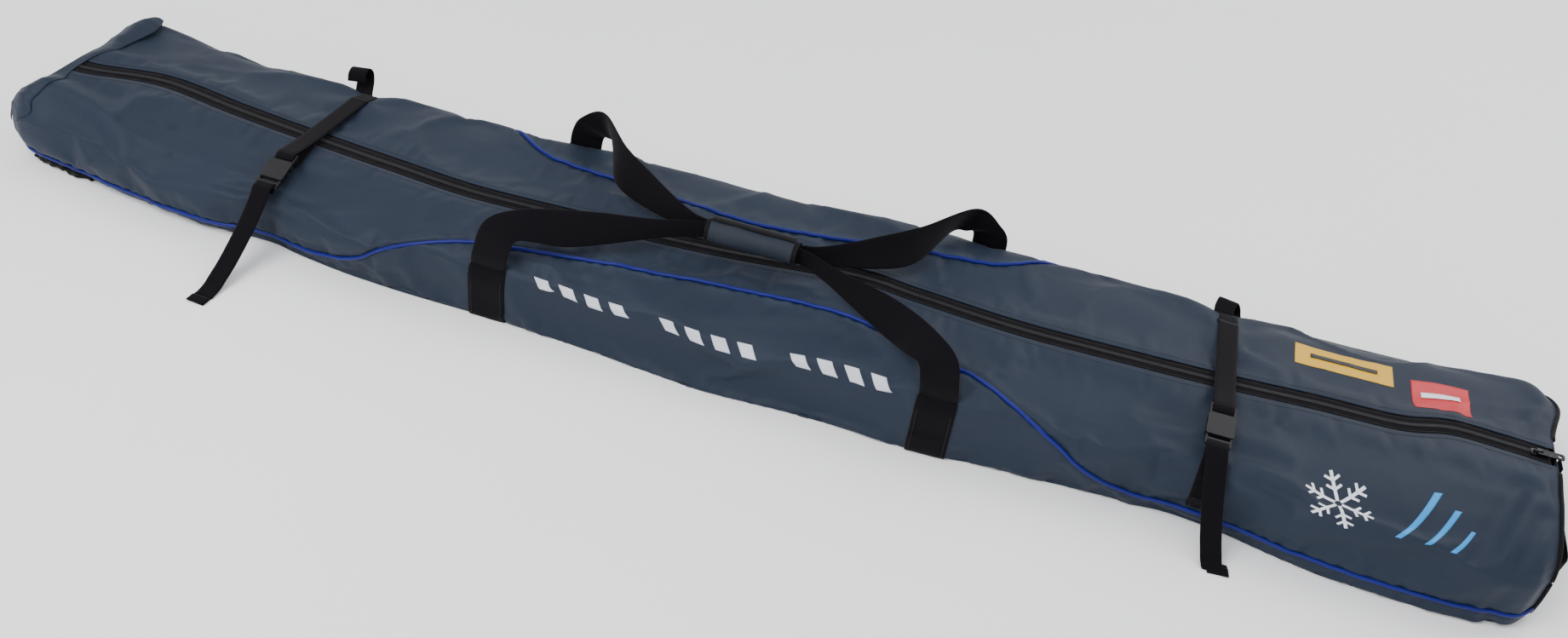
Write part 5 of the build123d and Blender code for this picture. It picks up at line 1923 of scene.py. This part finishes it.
# ---- studio
# name, place in metres, watts, diameter in metres, point that it looks at
LIGHTS = (
    ("key_light", (-1.2, -1.6, 2.6), 80.0, 2.2, (0.1, 0.0, 0.0)),
    ("fill_light", (1.9, 1.6, 2.4), 46.0, 2.6, (0.0, 0.0, 0.0)),
    ("front_light", (0.9, -3.2, 1.3), 16.0, 2.2, (0.3, 0.0, 0.0)))


@dataclass
class Studio:
    """Pale floor, soft lights and the camera."""

    camera_at: tuple[float, float, float] = (0.3754, -1.5603, 1.2422)
    azimuth: float = 11.29
    elevation: float = 37.8
    roll: float = 8.9
    lens: float = 33.25
    sensor: float = 36.0
    floor_half: float = 14.0
    world_strength: float = 1.15

    def build(self) -> None:
        """Build the stage."""
        self.floor()
        self.lights()
        self.camera()

    def floor(self) -> None:
        """Large pale floor, a matt painted board."""
        size = self.floor_half
        corners = np.array([(-size, -size, 0), (size, -size, 0), (size, size, 0), (-size, size, 0)])
        obj = add_mesh("studio_floor", corners, np.array([[0, 1, 2, 3]]))
        material, tree = empty_material("matt_white_board")
        place = add_node(tree, "ShaderNodeTexCoord").outputs["Object"]
        tone = mix(tree, noise(tree, place, 3.0), linear("#f6f6f6"), linear("#fafafa"))
        close_material(tree, {"Base Color": tone, "Roughness": 0.9})
        obj.data.materials.append(material)

    def lights(self) -> None:
        """Three soft areas above, and an even pale world."""
        for name, place, energy, size, aim in LIGHTS:
            lamp = bpy.data.lights.new(name, "AREA")
            lamp.energy = energy
            lamp.shape = "DISK"
            lamp.size = size
            obj = bpy.data.objects.new(name, lamp)
            obj.location = place
            way = Vector(aim) - Vector(place)
            obj.rotation_euler = way.to_track_quat("-Z", "Y").to_euler()
            bpy.context.scene.collection.objects.link(obj)
        world = bpy.data.worlds.new("studio_world")
        world.use_nodes = True
        sky = world.node_tree.nodes["Background"].inputs
        sky["Color"].default_value = linear("#f4f6fa")
        sky["Strength"].default_value = self.world_strength
        bpy.context.scene.world = world

    def camera(self) -> None:
        """Camera above the near side, rolled so that the bag runs down to the right."""
        a, e, c = (math.radians(v) for v in (self.azimuth, self.elevation, self.roll))
        back = Vector((math.sin(a) * math.cos(e), -math.cos(a) * math.cos(e), math.sin(e)))
        right = (-back).cross(Vector((0.0, 0.0, 1.0))).normalized()
        up = right.cross(-back)
        turned_right = right * math.cos(c) + up * math.sin(c)
        turned_up = up * math.cos(c) - right * math.sin(c)
        lens = bpy.data.cameras.new("camera")
        lens.lens = self.lens
        lens.sensor_width = self.sensor
        lens.clip_start = 0.05
        obj = bpy.data.objects.new("camera", lens)
        turn = Matrix((turned_right, turned_up, back)).transposed().to_4x4()
        obj.matrix_world = Matrix.Translation(Vector(self.camera_at)) @ turn
        bpy.context.scene.collection.objects.link(obj)
        bpy.context.scene.camera = obj


def main() -> None:
    """Build the whole scene, piece by piece."""
    logging.basicConfig(level=logging.INFO, format="%(name)s %(message)s")
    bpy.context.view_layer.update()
    Studio().build()
    form = BagForm()
    shell = Shell(form, moves=Filling(form).moves())
    for part in (BagBody(shell), Zip(shell), CarryHandle(shell), CompressionStraps(shell),
                 EndHandle(shell), Prints(shell)):
        part.build()
        log.info("%s done", type(part).__name__)


if __name__ == "__main__":
    main()
